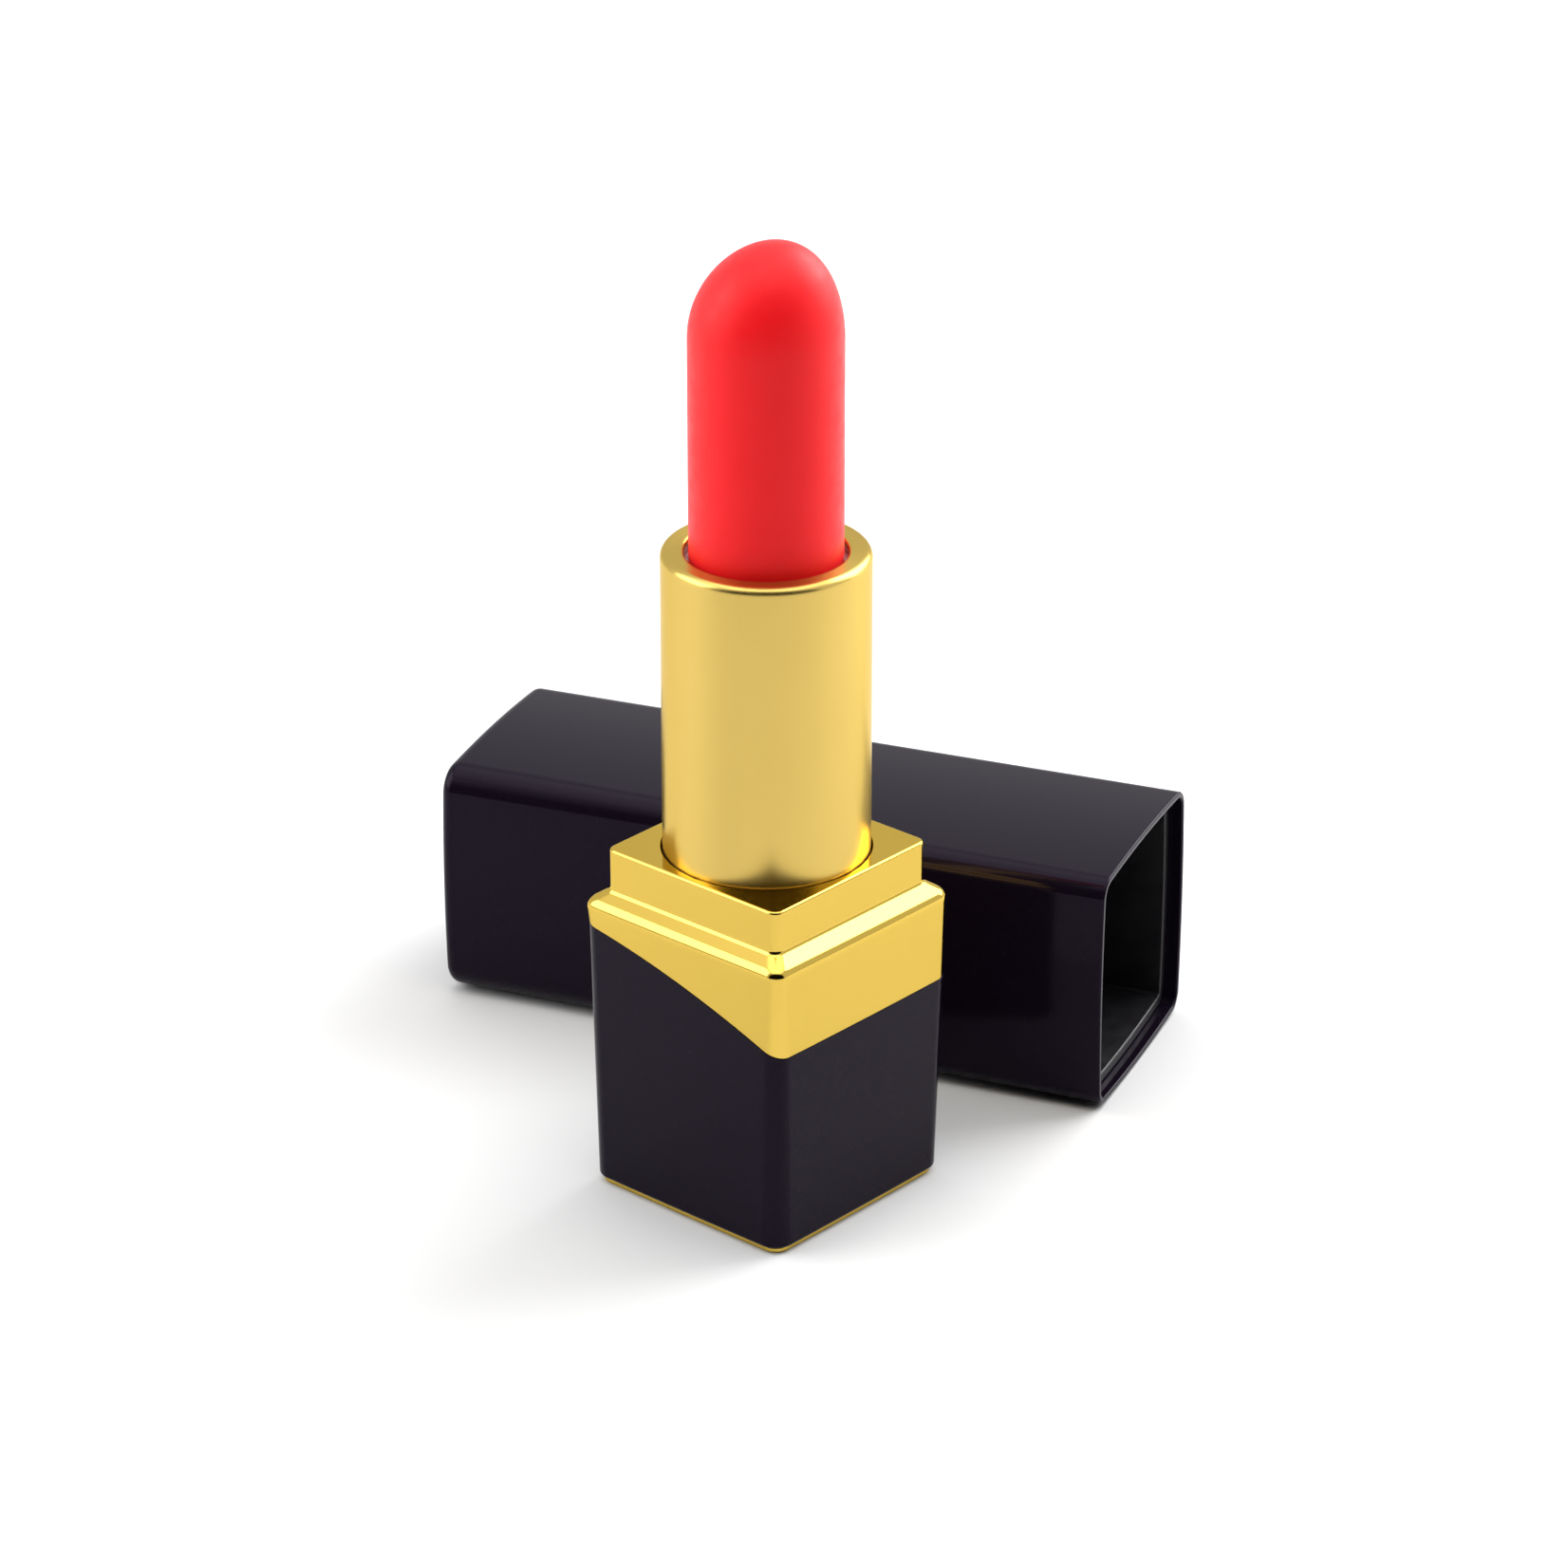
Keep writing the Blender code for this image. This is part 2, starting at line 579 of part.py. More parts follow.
def build_spiral(bench):
    """Spiral sleeve, bonded inside the outer sleeve, whose two helical slots drive the cup's lugs."""
    points = [
        (SPIRAL_RADIUS, MECHANISM_TOP),
        (SPIRAL_RADIUS, SLEEVE_BOTTOM),
        (SPIRAL_BORE_RADIUS, SLEEVE_BOTTOM),
        (SPIRAL_BORE_RADIUS, MECHANISM_TOP),
    ]
    outline = outline_mesh("spiral_sleeve", points, True)
    spiral = bench.part("spiral_sleeve", outline, bench.white_plastic, bench.sleeve_axis)
    screw(spiral)
    for index in range(2):
        boolean(spiral, helix_cutter(bench, f"helix_slot_{index + 1}", index * math.pi), "DIFFERENCE")


def build_carrier(bench):
    """Carrier cup whose two lugs reach through the guide slots into the helical ones."""
    points = [
        (CUP_RADIUS, CUP_TOP),
        (CUP_RADIUS, CUP_BOTTOM),
        (0, CUP_BOTTOM),
        (0, CUP_BOTTOM + CUP_FLOOR),
        (CUP_BORE_RADIUS, CUP_BOTTOM + CUP_FLOOR),
        (CUP_BORE_RADIUS, CUP_TOP),
    ]
    outline = outline_mesh("carrier_cup", points, True)
    cup = bench.part("carrier_cup", outline, bench.white_plastic, bench.carrier_axis)
    screw(cup)
    reach = (SPIRAL_RADIUS + SPIRAL_BORE_RADIUS) / 2
    root = CUP_RADIUS - CUP_WALL / 2
    for index in range(2):
        side = 1 - 2 * index
        lug = cylinder(f"lug_{index + 1}", LUG_RADIUS, root, reach, LUG_STEPS)
        lug.transform(Matrix.Translation((0, 0, LUG_LEVEL)) @ Matrix.Rotation(side * math.pi / 2, 4, "Y"))
        boolean(cup, bench.cutter(f"lug_{index + 1}", lug, bench.carrier_axis), "UNION")


def build_bullet(bench):
    """Red wax bullet with a slightly leaning domed tip."""
    shoulder = BULLET_TOP - DOME_HEIGHT
    dome = []
    for step in range(DOME_STEPS + 1):
        angle = math.pi / 2 * (1 - step / DOME_STEPS)
        dome.append((BULLET_RADIUS * math.cos(angle), shoulder + DOME_HEIGHT * math.sin(angle)))
    dome[0] = (0, BULLET_TOP)
    points = [*dome, (BULLET_RADIUS, BULLET_BOTTOM), (0, BULLET_BOTTOM)]
    pattern = bpy.data.objects.new("bullet_outline", outline_mesh("bullet_outline", points, False))
    bench.cutters.objects.link(pattern)
    screw(pattern, BULLET_STEPS)
    mesh = applied_mesh(pattern)
    bpy.data.objects.remove(pattern, do_unlink=True)
    lean = DOME_LEAN * Vector((math.cos(DOME_LEAN_ANGLE), math.sin(DOME_LEAN_ANGLE), 0))
    for vertex in mesh.vertices:
        share = max(0.0, (vertex.co.z - shoulder) / DOME_HEIGHT)
        vertex.co += lean * share * share
    bench.part("bullet", mesh, bench.wax, bench.carrier_axis)


def build_cap(bench):
    """Lying cap: black square shell with a closed end, and the plastic liner set back inside its mouth."""
    lie = Matrix.Rotation(math.pi / 2, 4, "Y")
    ends = (-CAP_LENGTH / 2, CAP_LENGTH / 2)
    shell = square_cup("cap_shell", ends, (CAP_HALF, CAP_HALF), (CAP_END_ROUND, CAP_ROUND), CAP_EDGE)
    shell.transform(lie)
    solidify(bench.part("cap_shell", shell, bench.black, bench.cap_axis), CAP_WALL)
    low = -CAP_LENGTH / 2 + CAP_WALL + LINER_END_GAP
    ends = (low, low + LINER_LENGTH)
    halves, rounds = (LINER_HALF, LINER_HALF), (LINER_END_ROUND, LINER_ROUND)
    liner = square_cup("cap_liner", ends, halves, rounds, LINER_EDGE)
    liner.transform(lie)
    solidify(bench.part("cap_liner", liner, bench.black_plastic, bench.cap_axis), LINER_WALL)


def shade_smooth():
    """Shade the round pieces smooth between their sharp edges."""
    for item in bpy.data.collections["lipstick_case"].objects:
        item.data.shade_smooth()
        item.data.set_sharp_from_angle(angle=math.radians(30))


def main():
    """Build every piece of the lipstick case."""
    clear_scene()
    bench = Bench()
    build_foot(bench)
    build_base_shell(bench)
    build_collar(bench)
    build_insert(bench)
    build_weight(bench)
    build_inner_body(bench)
    build_brake_ring(bench)
    build_sleeve(bench)
    build_spiral(bench)
    build_carrier(bench)
    build_bullet(bench)
    build_cap(bench)
    shade_smooth()


main()
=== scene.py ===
"""Looks of a square twist-up lipstick case: black cap and base, gold collar and sleeve, red bullet.

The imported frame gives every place. Each sub-assembly is a class that builds its skins as surfaces over a grid
of two parameters, dresses them in a procedural finish and rides them on their body. Lengths are in metres.
"""

from __future__ import annotations

import logging
import math
from dataclasses import dataclass, field
from enum import Enum

import bpy
import numpy as np
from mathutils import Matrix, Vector


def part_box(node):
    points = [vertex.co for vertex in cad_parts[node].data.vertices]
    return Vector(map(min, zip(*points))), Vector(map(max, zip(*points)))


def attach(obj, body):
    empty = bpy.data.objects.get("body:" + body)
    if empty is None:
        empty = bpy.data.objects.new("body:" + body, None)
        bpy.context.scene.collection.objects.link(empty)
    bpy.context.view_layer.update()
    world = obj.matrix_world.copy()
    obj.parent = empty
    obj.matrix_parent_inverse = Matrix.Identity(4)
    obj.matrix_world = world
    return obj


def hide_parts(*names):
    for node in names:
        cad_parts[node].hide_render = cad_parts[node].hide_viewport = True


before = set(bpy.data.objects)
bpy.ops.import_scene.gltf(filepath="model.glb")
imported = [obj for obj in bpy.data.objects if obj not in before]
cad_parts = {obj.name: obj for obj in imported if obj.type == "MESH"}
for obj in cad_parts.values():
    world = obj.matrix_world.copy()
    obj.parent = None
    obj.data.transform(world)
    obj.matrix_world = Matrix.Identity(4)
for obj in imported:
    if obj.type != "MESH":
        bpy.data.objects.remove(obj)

MM = 0.001
MICRON = 0.000001
LOG = logging.getLogger("lipstick_case")


class Slot(Enum):
    """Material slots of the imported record."""

    BLACK_LACQUER = "black_lacquer"
    BLACK_PLASTIC = "black_plastic"
    GOLD_POLISHED = "gold_polished"
    GOLD_SATIN = "gold_satin"
    LABEL = "label"
    STEEL = "steel"
    WHITE_PLASTIC = "white_plastic"
    RUBBER = "rubber"
    RED_WAX = "red_wax"


class Body(Enum):
    """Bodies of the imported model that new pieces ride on."""

    BASE = "base"
    SLEEVE = "sleeve"
    CARRIER = "carrier"
    CAP = "cap"


# ---------------------------------------------------------------- surfaces

ARC_MARGIN = 0.05 * MM
SMALLEST_CORNER = 0.05 * MM
FLAT = math.radians(0.1)


def rounded_path(corners: np.ndarray, radii: np.ndarray, closed: bool, steps: int = 8) -> np.ndarray:
    """Round the corners of a flat path.

    Each corner is replaced by the arc of its radius that touches both its sides: the arc's centre lies on the
    bisector, at radius / sin(half angle) from the corner. A point close beside each end of the arc keeps the
    straight stretch flat when it is shaded smooth.

    Args:
        corners: Corner points, one row each.
        radii: Radius at each corner, zero for a sharp one.
        closed: Whether the last corner joins the first.
        steps: Stretches in each arc.

    Returns:
        The points of the rounded path, one row each.
    """
    count = len(corners)
    pieces = []
    for index in range(count):
        corner, radius = corners[index], radii[index]
        if not closed and index in (0, count - 1) or radius <= 0:
            pieces.append(corner[None, :])
            continue
        back = corners[index - 1] - corner
        ahead = corners[(index + 1) % count] - corner
        back_room, ahead_room = np.linalg.norm(back), np.linalg.norm(ahead)
        back, ahead = back / back_room, ahead / ahead_room
        half = math.acos(float(np.clip(back @ ahead, -1, 1))) / 2
        reach = radius / math.tan(half)
        bisector = (back + ahead) / np.linalg.norm(back + ahead)
        centre = corner + bisector * radius / math.sin(half)
        start, end = corner + back * reach - centre, corner + ahead * reach - centre
        sweep = math.pi - 2 * half
        turn = np.linspace(0, 1, steps + 1)[:, None]
        arc = centre + (np.sin((1 - turn) * sweep) * start + np.sin(turn * sweep) * end) / math.sin(sweep)
        before = corner + back * min(reach + ARC_MARGIN, (reach + back_room) / 2)
        after = corner + ahead * min(reach + ARC_MARGIN, (reach + ahead_room) / 2)
        pieces.extend([before[None, :], arc, after[None, :]])
    return np.vstack(pieces)


@dataclass(frozen=True)
class SquareOutline:
    """A square with slightly crowned sides and round corners.

    Each side is an arc of a large radius R that turns by the crown angle to either side of its middle. Each
    corner is an arc of the corner radius r that turns through the rest of the right angle. The two meet
    without a kink when R = (half - r k) / (1 - k), where k is the cosine less the sine of the crown angle.
    The corner's centre then lies on the diagonal, at (R - r) times the sine. Points crowd towards a side's
    ends, by a cosine, so that the stretch beside each corner shades cleanly.
    """

    arc_steps: int = 12
    side_steps: int = 14

    def points(self, half: np.ndarray, corner: np.ndarray, crown: np.ndarray) -> np.ndarray:
        """Give the outline at each of several sizes.

        Args:
            half: Half width of each outline, at the middle of its sides.
            corner: Corner radius of each outline.
            crown: Crown angle of each outline, in radians, above zero.

        Returns:
            Array of outlines by points by (x, y), anticlockwise.
        """
        half, corner, crown = half[:, None], corner[:, None], crown[:, None]
        ratio = np.cos(crown) - np.sin(crown)
        large = (half - corner * ratio) / (1 - ratio)
        side = -crown * np.cos(np.linspace(0, math.pi, self.side_steps + 1))
        steps = np.linspace(0, 1, self.arc_steps + 1)[1:-1]
        turn = crown + (math.pi / 2 - 2 * crown) * steps
        centre = (large - corner) * np.sin(crown)
        x = np.concatenate([half - large + large * np.cos(side), centre + corner * np.cos(turn)], axis=1)
        y = np.concatenate([large * np.sin(side), centre + corner * np.sin(turn)], axis=1)
        quarters = [(x, y), (-y, x), (-x, -y), (y, -x)]
        return np.concatenate([np.stack(pair, axis=-1) for pair in quarters], axis=1)


OUTLINE = SquareOutline()


def square_skin(
    path: np.ndarray, halves: np.ndarray, corners: np.ndarray, crown: float | np.ndarray
) -> np.ndarray:
    """Carry a path of insets and levels round a square.

    A point of the path at inset d and level z becomes the outline of half width half - d, at height z.

    Args:
        path: Rows of inset and level.
        halves: Half width at inset zero, at each row.
        corners: Corner radius at each row.
        crown: Crown angle of the sides, in radians.

    Returns:
        Grid of path points by outline points by (x, y, z).
    """
    halves = halves - path[:, 0]
    corners = np.clip(corners, SMALLEST_CORNER, halves)
    flat = OUTLINE.points(halves, corners, np.broadcast_to(crown, halves.shape))
    height = np.broadcast_to(path[:, 1, None, None], flat.shape[:2] + (1,))
    return np.concatenate([flat, height], axis=2)


def ring_at(bearing: np.ndarray, path: np.ndarray) -> np.ndarray:
    """Make circles whose points stand at given bearings.

    Args:
        bearing: Bearing of each point, in radians.
        path: Rows of radius and level.

    Returns:
        Grid of path points by bearings by (x, y, z).
    """
    radius, level = path[:, 0, None], path[:, 1, None]
    return np.stack([radius * np.cos(bearing), radius * np.sin(bearing), level + 0 * bearing], axis=2)


def turned_skin(path: np.ndarray, count: int) -> np.ndarray:
    """Turn a path of radii and levels round the Z axis, at count even bearings over one turn."""
    return ring_at(np.arange(count) * 2 * math.pi / count, path)


def skin_mesh(name: str, grid: np.ndarray, closed_path: bool, sharp: float = 40.0) -> bpy.types.Object:
    """Make an object from a grid whose second direction runs round a ring.

    Neighbouring rows and columns are joined by quads. A closed path joins its last row to its first; an open
    one ends in a fan of triangles to the middle of each end row. The winding is turned over if the signed
    volume comes out negative, so the faces point outwards.

    Args:
        name: Name of the piece.
        grid: Rows by columns by (x, y, z).
        closed_path: Whether the last row joins the first.
        sharp: Angle in degrees above which an edge stays sharp.

    Returns:
        The new object, linked to the scene.
    """
    rows, columns = grid.shape[:2]
    index = np.arange(rows * columns).reshape(rows, columns)
    lower = index if closed_path else index[:-1]
    upper = np.roll(index, -1, axis=0) if closed_path else index[1:]
    quads = np.stack([lower, np.roll(lower, -1, 1), np.roll(upper, -1, 1), upper], axis=-1).reshape(-1, 4)
    vertices = grid.reshape(-1, 3)
    fans = np.zeros((0, 3), int)
    if not closed_path:
        vertices = np.vstack([vertices, grid[0].mean(axis=0), grid[-1].mean(axis=0)])
        first, last = rows * columns, rows * columns + 1
        bottom = np.stack([np.roll(index[0], -1), index[0], np.full(columns, first)], axis=-1)
        top = np.stack([index[-1], np.roll(index[-1], -1), np.full(columns, last)], axis=-1)
        fans = np.vstack([bottom, top])
    triangles = np.vstack([quads[:, [0, 1, 2]], quads[:, [0, 2, 3]], fans])
    a, b, c = (vertices[triangles[:, side]] for side in range(3))
    if np.einsum("ij,ij->i", a, np.cross(b, c)).sum() < 0:
        quads, fans = quads[:, ::-1], fans[:, ::-1]
    mesh = bpy.data.meshes.new(name)
    mesh.from_pydata(vertices.tolist(), [], quads.tolist() + fans.tolist())
    mesh.validate()
    mesh.shade_smooth()
    mesh.set_sharp_from_angle(angle=math.radians(sharp))
    piece = bpy.data.objects.new(name, mesh)
    bpy.context.scene.collection.objects.link(piece)
    return piece


def turn_about_z(points: np.ndarray, angle: float) -> np.ndarray:
    """Turn points about the Z axis by an angle in radians."""
    cos, sin = math.cos(angle), math.sin(angle)
    return points @ np.array([[cos, sin, 0], [-sin, cos, 0], [0, 0, 1]])


# ---------------------------------------------------------------- finishes
#
# In the finishes, cells are the cells of a noise to a metre, a depth is what the full range of a bump stands
# for, and gloss is the span of the roughness.

Colour = tuple[float, float, float]
QUARTER_TURN = 0.25


class Recipe:
    """A material under construction, with short ways to add the nodes that the finishes share."""

    def __init__(self, name: str) -> None:
        """Start a Principled material.

        Args:
            name: Name of the material.
        """
        self.material = bpy.data.materials.new(name)
        self.material.use_nodes = True
        self.tree = self.material.node_tree
        self.shader = self.tree.nodes["Principled BSDF"]
        self.place = self.tree.nodes.new("ShaderNodeTexCoord").outputs["Object"]

    def set(self, **values: float | tuple[float, ...]) -> None:
        """Set shader sockets by name, with underscores for spaces."""
        for socket, value in values.items():
            self.shader.inputs[socket.replace("_", " ")].default_value = value

    def stretched(self, scale: tuple[float, float, float]) -> bpy.types.NodeSocket:
        """Give the object's own coordinates, stretched.

        Args:
            scale: Factor along each axis.

        Returns:
            The stretched coordinate socket.
        """
        mapping = self.tree.nodes.new("ShaderNodeMapping")
        mapping.inputs["Scale"].default_value = scale
        self.tree.links.new(self.place, mapping.inputs["Vector"])
        return mapping.outputs["Vector"]

    def noise(
        self, scale: float, detail: float = 2.0, stretch: tuple[float, float, float] = (1, 1, 1)
    ) -> bpy.types.NodeSocket:
        """Add a noise pattern.

        Args:
            scale: Cells to a metre.
            detail: Octaves.
            stretch: Factor along each axis.

        Returns:
            The noise value socket.
        """
        node = self.tree.nodes.new("ShaderNodeTexNoise")
        node.inputs["Scale"].default_value = scale
        node.inputs["Detail"].default_value = detail
        self.tree.links.new(self.stretched(stretch), node.inputs["Vector"])
        return node.outputs["Fac"]

    def spread(
        self, value: bpy.types.NodeSocket, low: float, high: float, start: float = 0.3, end: float = 0.7
    ) -> bpy.types.NodeSocket:
        """Map a pattern onto a range.

        Args:
            value: Socket of the pattern.
            low: Result at the start.
            high: Result at the end.
            start: Pattern value that gives low.
            end: Pattern value that gives high.

        Returns:
            The mapped socket.
        """
        node = self.tree.nodes.new("ShaderNodeMapRange")
        node.inputs["From Min"].default_value = start
        node.inputs["From Max"].default_value = end
        node.inputs["To Min"].default_value = low
        node.inputs["To Max"].default_value = high
        self.tree.links.new(value, node.inputs["Value"])
        return node.outputs["Result"]

    def blend(
        self, value: bpy.types.NodeSocket, first: tuple[float, ...], second: tuple[float, ...]
    ) -> bpy.types.NodeSocket:
        """Blend two colours by a pattern.

        Args:
            value: Socket of the pattern.
            first: Colour at 0.
            second: Colour at 1.

        Returns:
            The colour socket.
        """
        node = self.tree.nodes.new("ShaderNodeMix")
        node.data_type = "RGBA"
        node.inputs["A"].default_value = (*first, 1.0)
        node.inputs["B"].default_value = (*second, 1.0)
        self.tree.links.new(value, node.inputs["Factor"])
        return node.outputs["Result"]

    def feed(self, socket: str, source: bpy.types.NodeSocket) -> None:
        """Link a source to a named shader socket."""
        self.tree.links.new(source, self.shader.inputs[socket])

    def bump(self, layers: list[tuple[bpy.types.NodeSocket, float]]) -> None:
        """Chain bump layers into the shader's normal.

        Args:
            layers: Pairs of a height socket and the depth in metres that its full range stands for.
        """
        below = None
        for height, depth in layers:
            node = self.tree.nodes.new("ShaderNodeBump")
            node.inputs["Strength"].default_value = 1.0
            node.inputs["Distance"].default_value = depth
            self.tree.links.new(height, node.inputs["Height"])
            if below is not None:
                self.tree.links.new(below, node.inputs["Normal"])
            below = node.outputs["Normal"]
        self.feed("Normal", below)


@dataclass(frozen=True)
class Lacquer:
    """Gloss lacquer with a faint orange peel, fine polishing haze and a trace of dust in the colour."""

    name: str
    colour: Colour
    dust: Colour
    gloss: tuple[float, float] = (0.07, 0.12)
    level: float = 0.10
    tint: Colour = (0.86, 0.70, 1.0)
    dust_cells: float = 2600
    dust_range: tuple[float, float] = (0.62, 0.8)
    haze_cells: float = 70
    haze_stretch: tuple[float, float, float] = (1, 1, 0.4)
    peel_cells: float = 380
    peel_depth: float = 2.2 * MICRON
    grain_cells: float = 3200
    grain_depth: float = 0.3 * MICRON

    def build(self) -> bpy.types.Material:
        """Make the material.

        Returns:
            The finished material.
        """
        recipe = Recipe(self.name)
        recipe.set(Specular_IOR_Level=self.level, Specular_Tint=(*self.tint, 1.0))
        specks = recipe.spread(recipe.noise(self.dust_cells, 3), 0.0, 1.0, *self.dust_range)
        recipe.feed("Base Color", recipe.blend(specks, self.colour, self.dust))
        haze = recipe.noise(self.haze_cells, 4, self.haze_stretch)
        recipe.feed("Roughness", recipe.spread(haze, *self.gloss))
        peel = recipe.noise(self.peel_cells, 1)
        grain = recipe.noise(self.grain_cells, 1)
        recipe.bump([(peel, self.peel_depth), (grain, self.grain_depth)])
        return recipe.material


@dataclass(frozen=True)
class Gold:
    """Gold anodised metal: tone drifts slightly, with polishing haze and fine drawn lines along the axis."""

    name: str
    colour: Colour
    deep: Colour
    gloss: tuple[float, float]
    line_depth: float
    ripple_depth: float
    brushed: float = 0.0
    edge: Colour = (0.85, 0.76, 0.55)
    tone_cells: float = 90
    line_cells: float = 5200
    line_stretch: tuple[float, float, float] = (1, 1, 0.012)
    ripple_cells: float = 260

    def build(self) -> bpy.types.Material:
        """Make the material.

        Returns:
            The finished material.
        """
        recipe = Recipe(self.name)
        recipe.set(
            Metallic=1.0,
            Specular_Tint=(*self.edge, 1.0),
            Anisotropic=self.brushed,
            Anisotropic_Rotation=QUARTER_TURN,
        )
        tone = recipe.spread(recipe.noise(self.tone_cells, 3), 0.0, 1.0)
        recipe.feed("Base Color", recipe.blend(tone, self.colour, self.deep))
        drawn = recipe.noise(self.line_cells, 2, self.line_stretch)
        recipe.feed("Roughness", recipe.spread(drawn, *self.gloss))
        ripple = recipe.noise(self.ripple_cells, 1)
        recipe.bump([(drawn, self.line_depth), (ripple, self.ripple_depth)])
        return recipe.material


@dataclass(frozen=True)
class Wax:
    """Pigmented wax: satin, slightly translucent, with a soft mottle and a fine moulded grain."""

    name: str
    colour: Colour
    deep: Colour
    gloss: tuple[float, float] = (0.40, 0.52)
    level: float = 0.22
    glow: float = 0.12
    glow_reach: Colour = (1.0, 0.12, 0.08)
    glow_depth: float = 1.2 * MM
    bloom: float = 0.05
    bloom_gloss: float = 0.45
    bloom_tint: Colour = (1.0, 0.75, 0.72)
    mottle_cells: float = 240
    gloss_cells: float = 900
    grain_cells: float = 5200
    grain_depth: float = 1.6 * MICRON
    wave_cells: float = 190
    wave_depth: float = 6 * MICRON

    def build(self) -> bpy.types.Material:
        """Make the material.

        Returns:
            The finished material.
        """
        recipe = Recipe(self.name)
        recipe.set(
            Specular_IOR_Level=self.level,
            Subsurface_Weight=self.glow,
            Subsurface_Radius=self.glow_reach,
            Subsurface_Scale=self.glow_depth,
            Sheen_Weight=self.bloom,
            Sheen_Roughness=self.bloom_gloss,
            Sheen_Tint=(*self.bloom_tint, 1.0),
        )
        mottle = recipe.spread(recipe.noise(self.mottle_cells, 4), 0.0, 1.0)
        recipe.feed("Base Color", recipe.blend(mottle, self.colour, self.deep))
        recipe.feed("Roughness", recipe.spread(recipe.noise(self.gloss_cells, 3), *self.gloss))
        grain = recipe.noise(self.grain_cells, 2)
        wave = recipe.noise(self.wave_cells, 2)
        recipe.bump([(grain, self.grain_depth), (wave, self.wave_depth)])
        return recipe.material


@dataclass(frozen=True)
class Moulding:
    """Moulded plastic, rubber or paper: an even colour with a fine grain and a little flow in its gloss."""

    name: str
    colour: Colour
    shade: Colour
    gloss: tuple[float, float]
    grain_depth: float = 2 * MICRON
    grain_cells: float = 4200
    level: float = 0.4
    flow_cells: float = 160
    gloss_cells: float = 700

    def build(self) -> bpy.types.Material:
        """Make the material.

        Returns:
            The finished material.
        """
        recipe = Recipe(self.name)
        recipe.set(Specular_IOR_Level=self.level)
        flow = recipe.spread(recipe.noise(self.flow_cells, 3), 0.0, 1.0)
        recipe.feed("Base Color", recipe.blend(flow, self.colour, self.shade))
        recipe.feed("Roughness", recipe.spread(recipe.noise(self.gloss_cells, 2), *self.gloss))
        recipe.bump([(recipe.noise(self.grain_cells, 2), self.grain_depth)])
        return recipe.material


@dataclass(frozen=True)
class TurnedSteel:
    """Bare steel with the rings that a lathe tool leaves on its faces."""

    name: str = "turned_steel"
    colour: Colour = (0.60, 0.60, 0.61)
    shade: Colour = (0.50, 0.50, 0.52)
    gloss: tuple[float, float] = (0.28, 0.40)
    tone_cells: float = 300
    ring_scale: float = 1400
    ring_waver: float = 0.4
    ring_depth: float = 3 * MICRON

    def build(self) -> bpy.types.Material:
        """Make the material.

        Returns:
            The finished material.
        """
        recipe = Recipe(self.name)
        recipe.set(Metallic=1.0)
        rings = recipe.tree.nodes.new("ShaderNodeTexWave")
        rings.wave_type = "RINGS"
        rings.rings_direction = "Z"
        rings.inputs["Scale"].default_value = self.ring_scale
        rings.inputs["Distortion"].default_value = self.ring_waver
        recipe.tree.links.new(recipe.place, rings.inputs["Vector"])
        tone = recipe.spread(recipe.noise(self.tone_cells, 4), 0.0, 1.0)
        recipe.feed("Base Color", recipe.blend(tone, self.colour, self.shade))
        recipe.feed("Roughness", recipe.spread(rings.outputs["Fac"], *self.gloss, 0.0, 1.0))
        recipe.bump([(rings.outputs["Fac"], self.ring_depth)])
        return recipe.material


FINISHES = {
    Slot.BLACK_LACQUER: Lacquer(
        name="black_lacquer",
        colour=(0.0060, 0.0036, 0.0084),
        dust=(0.011, 0.008, 0.013),
    ),
    Slot.BLACK_PLASTIC: Moulding(
        name="black_plastic",
        colour=(0.006, 0.005, 0.007),
        shade=(0.009, 0.008, 0.010),
        gloss=(0.34, 0.46),
    ),
    Slot.GOLD_POLISHED: Gold(
        name="gold_polished",
        colour=(0.675, 0.468, 0.090),
        deep=(0.655, 0.450, 0.084),
        gloss=(0.06, 0.10),
        line_depth=0.05 * MICRON,
        ripple_depth=0.8 * MICRON,
    ),
    Slot.GOLD_SATIN: Gold(
        name="gold_satin",
        colour=(0.65, 0.465, 0.125),
        deep=(0.63, 0.45, 0.118),
        gloss=(0.25, 0.27),
        line_depth=0.03 * MICRON,
        ripple_depth=0.6 * MICRON,
        brushed=0.75,
    ),
    Slot.LABEL: Moulding(
        name="label_paper",
        colour=(0.80, 0.80, 0.78),
        shade=(0.74, 0.74, 0.72),
        gloss=(0.55, 0.68),
        grain_depth=4 * MICRON,
        grain_cells=6000,
    ),
    Slot.STEEL: TurnedSteel(),
    Slot.WHITE_PLASTIC: Moulding(
        name="white_plastic",
        colour=(0.78, 0.78, 0.76),
        shade=(0.72, 0.72, 0.70),
        gloss=(0.30, 0.42),
    ),
    Slot.RUBBER: Moulding(
        name="brake_rubber",
        colour=(0.020, 0.020, 0.021),
        shade=(0.032, 0.031, 0.031),
        gloss=(0.60, 0.78),
    ),
    Slot.RED_WAX: Wax(
        name="red_wax",
        colour=(0.93, 0.007, 0.012),
        deep=(0.90, 0.006, 0.010),
    ),
}


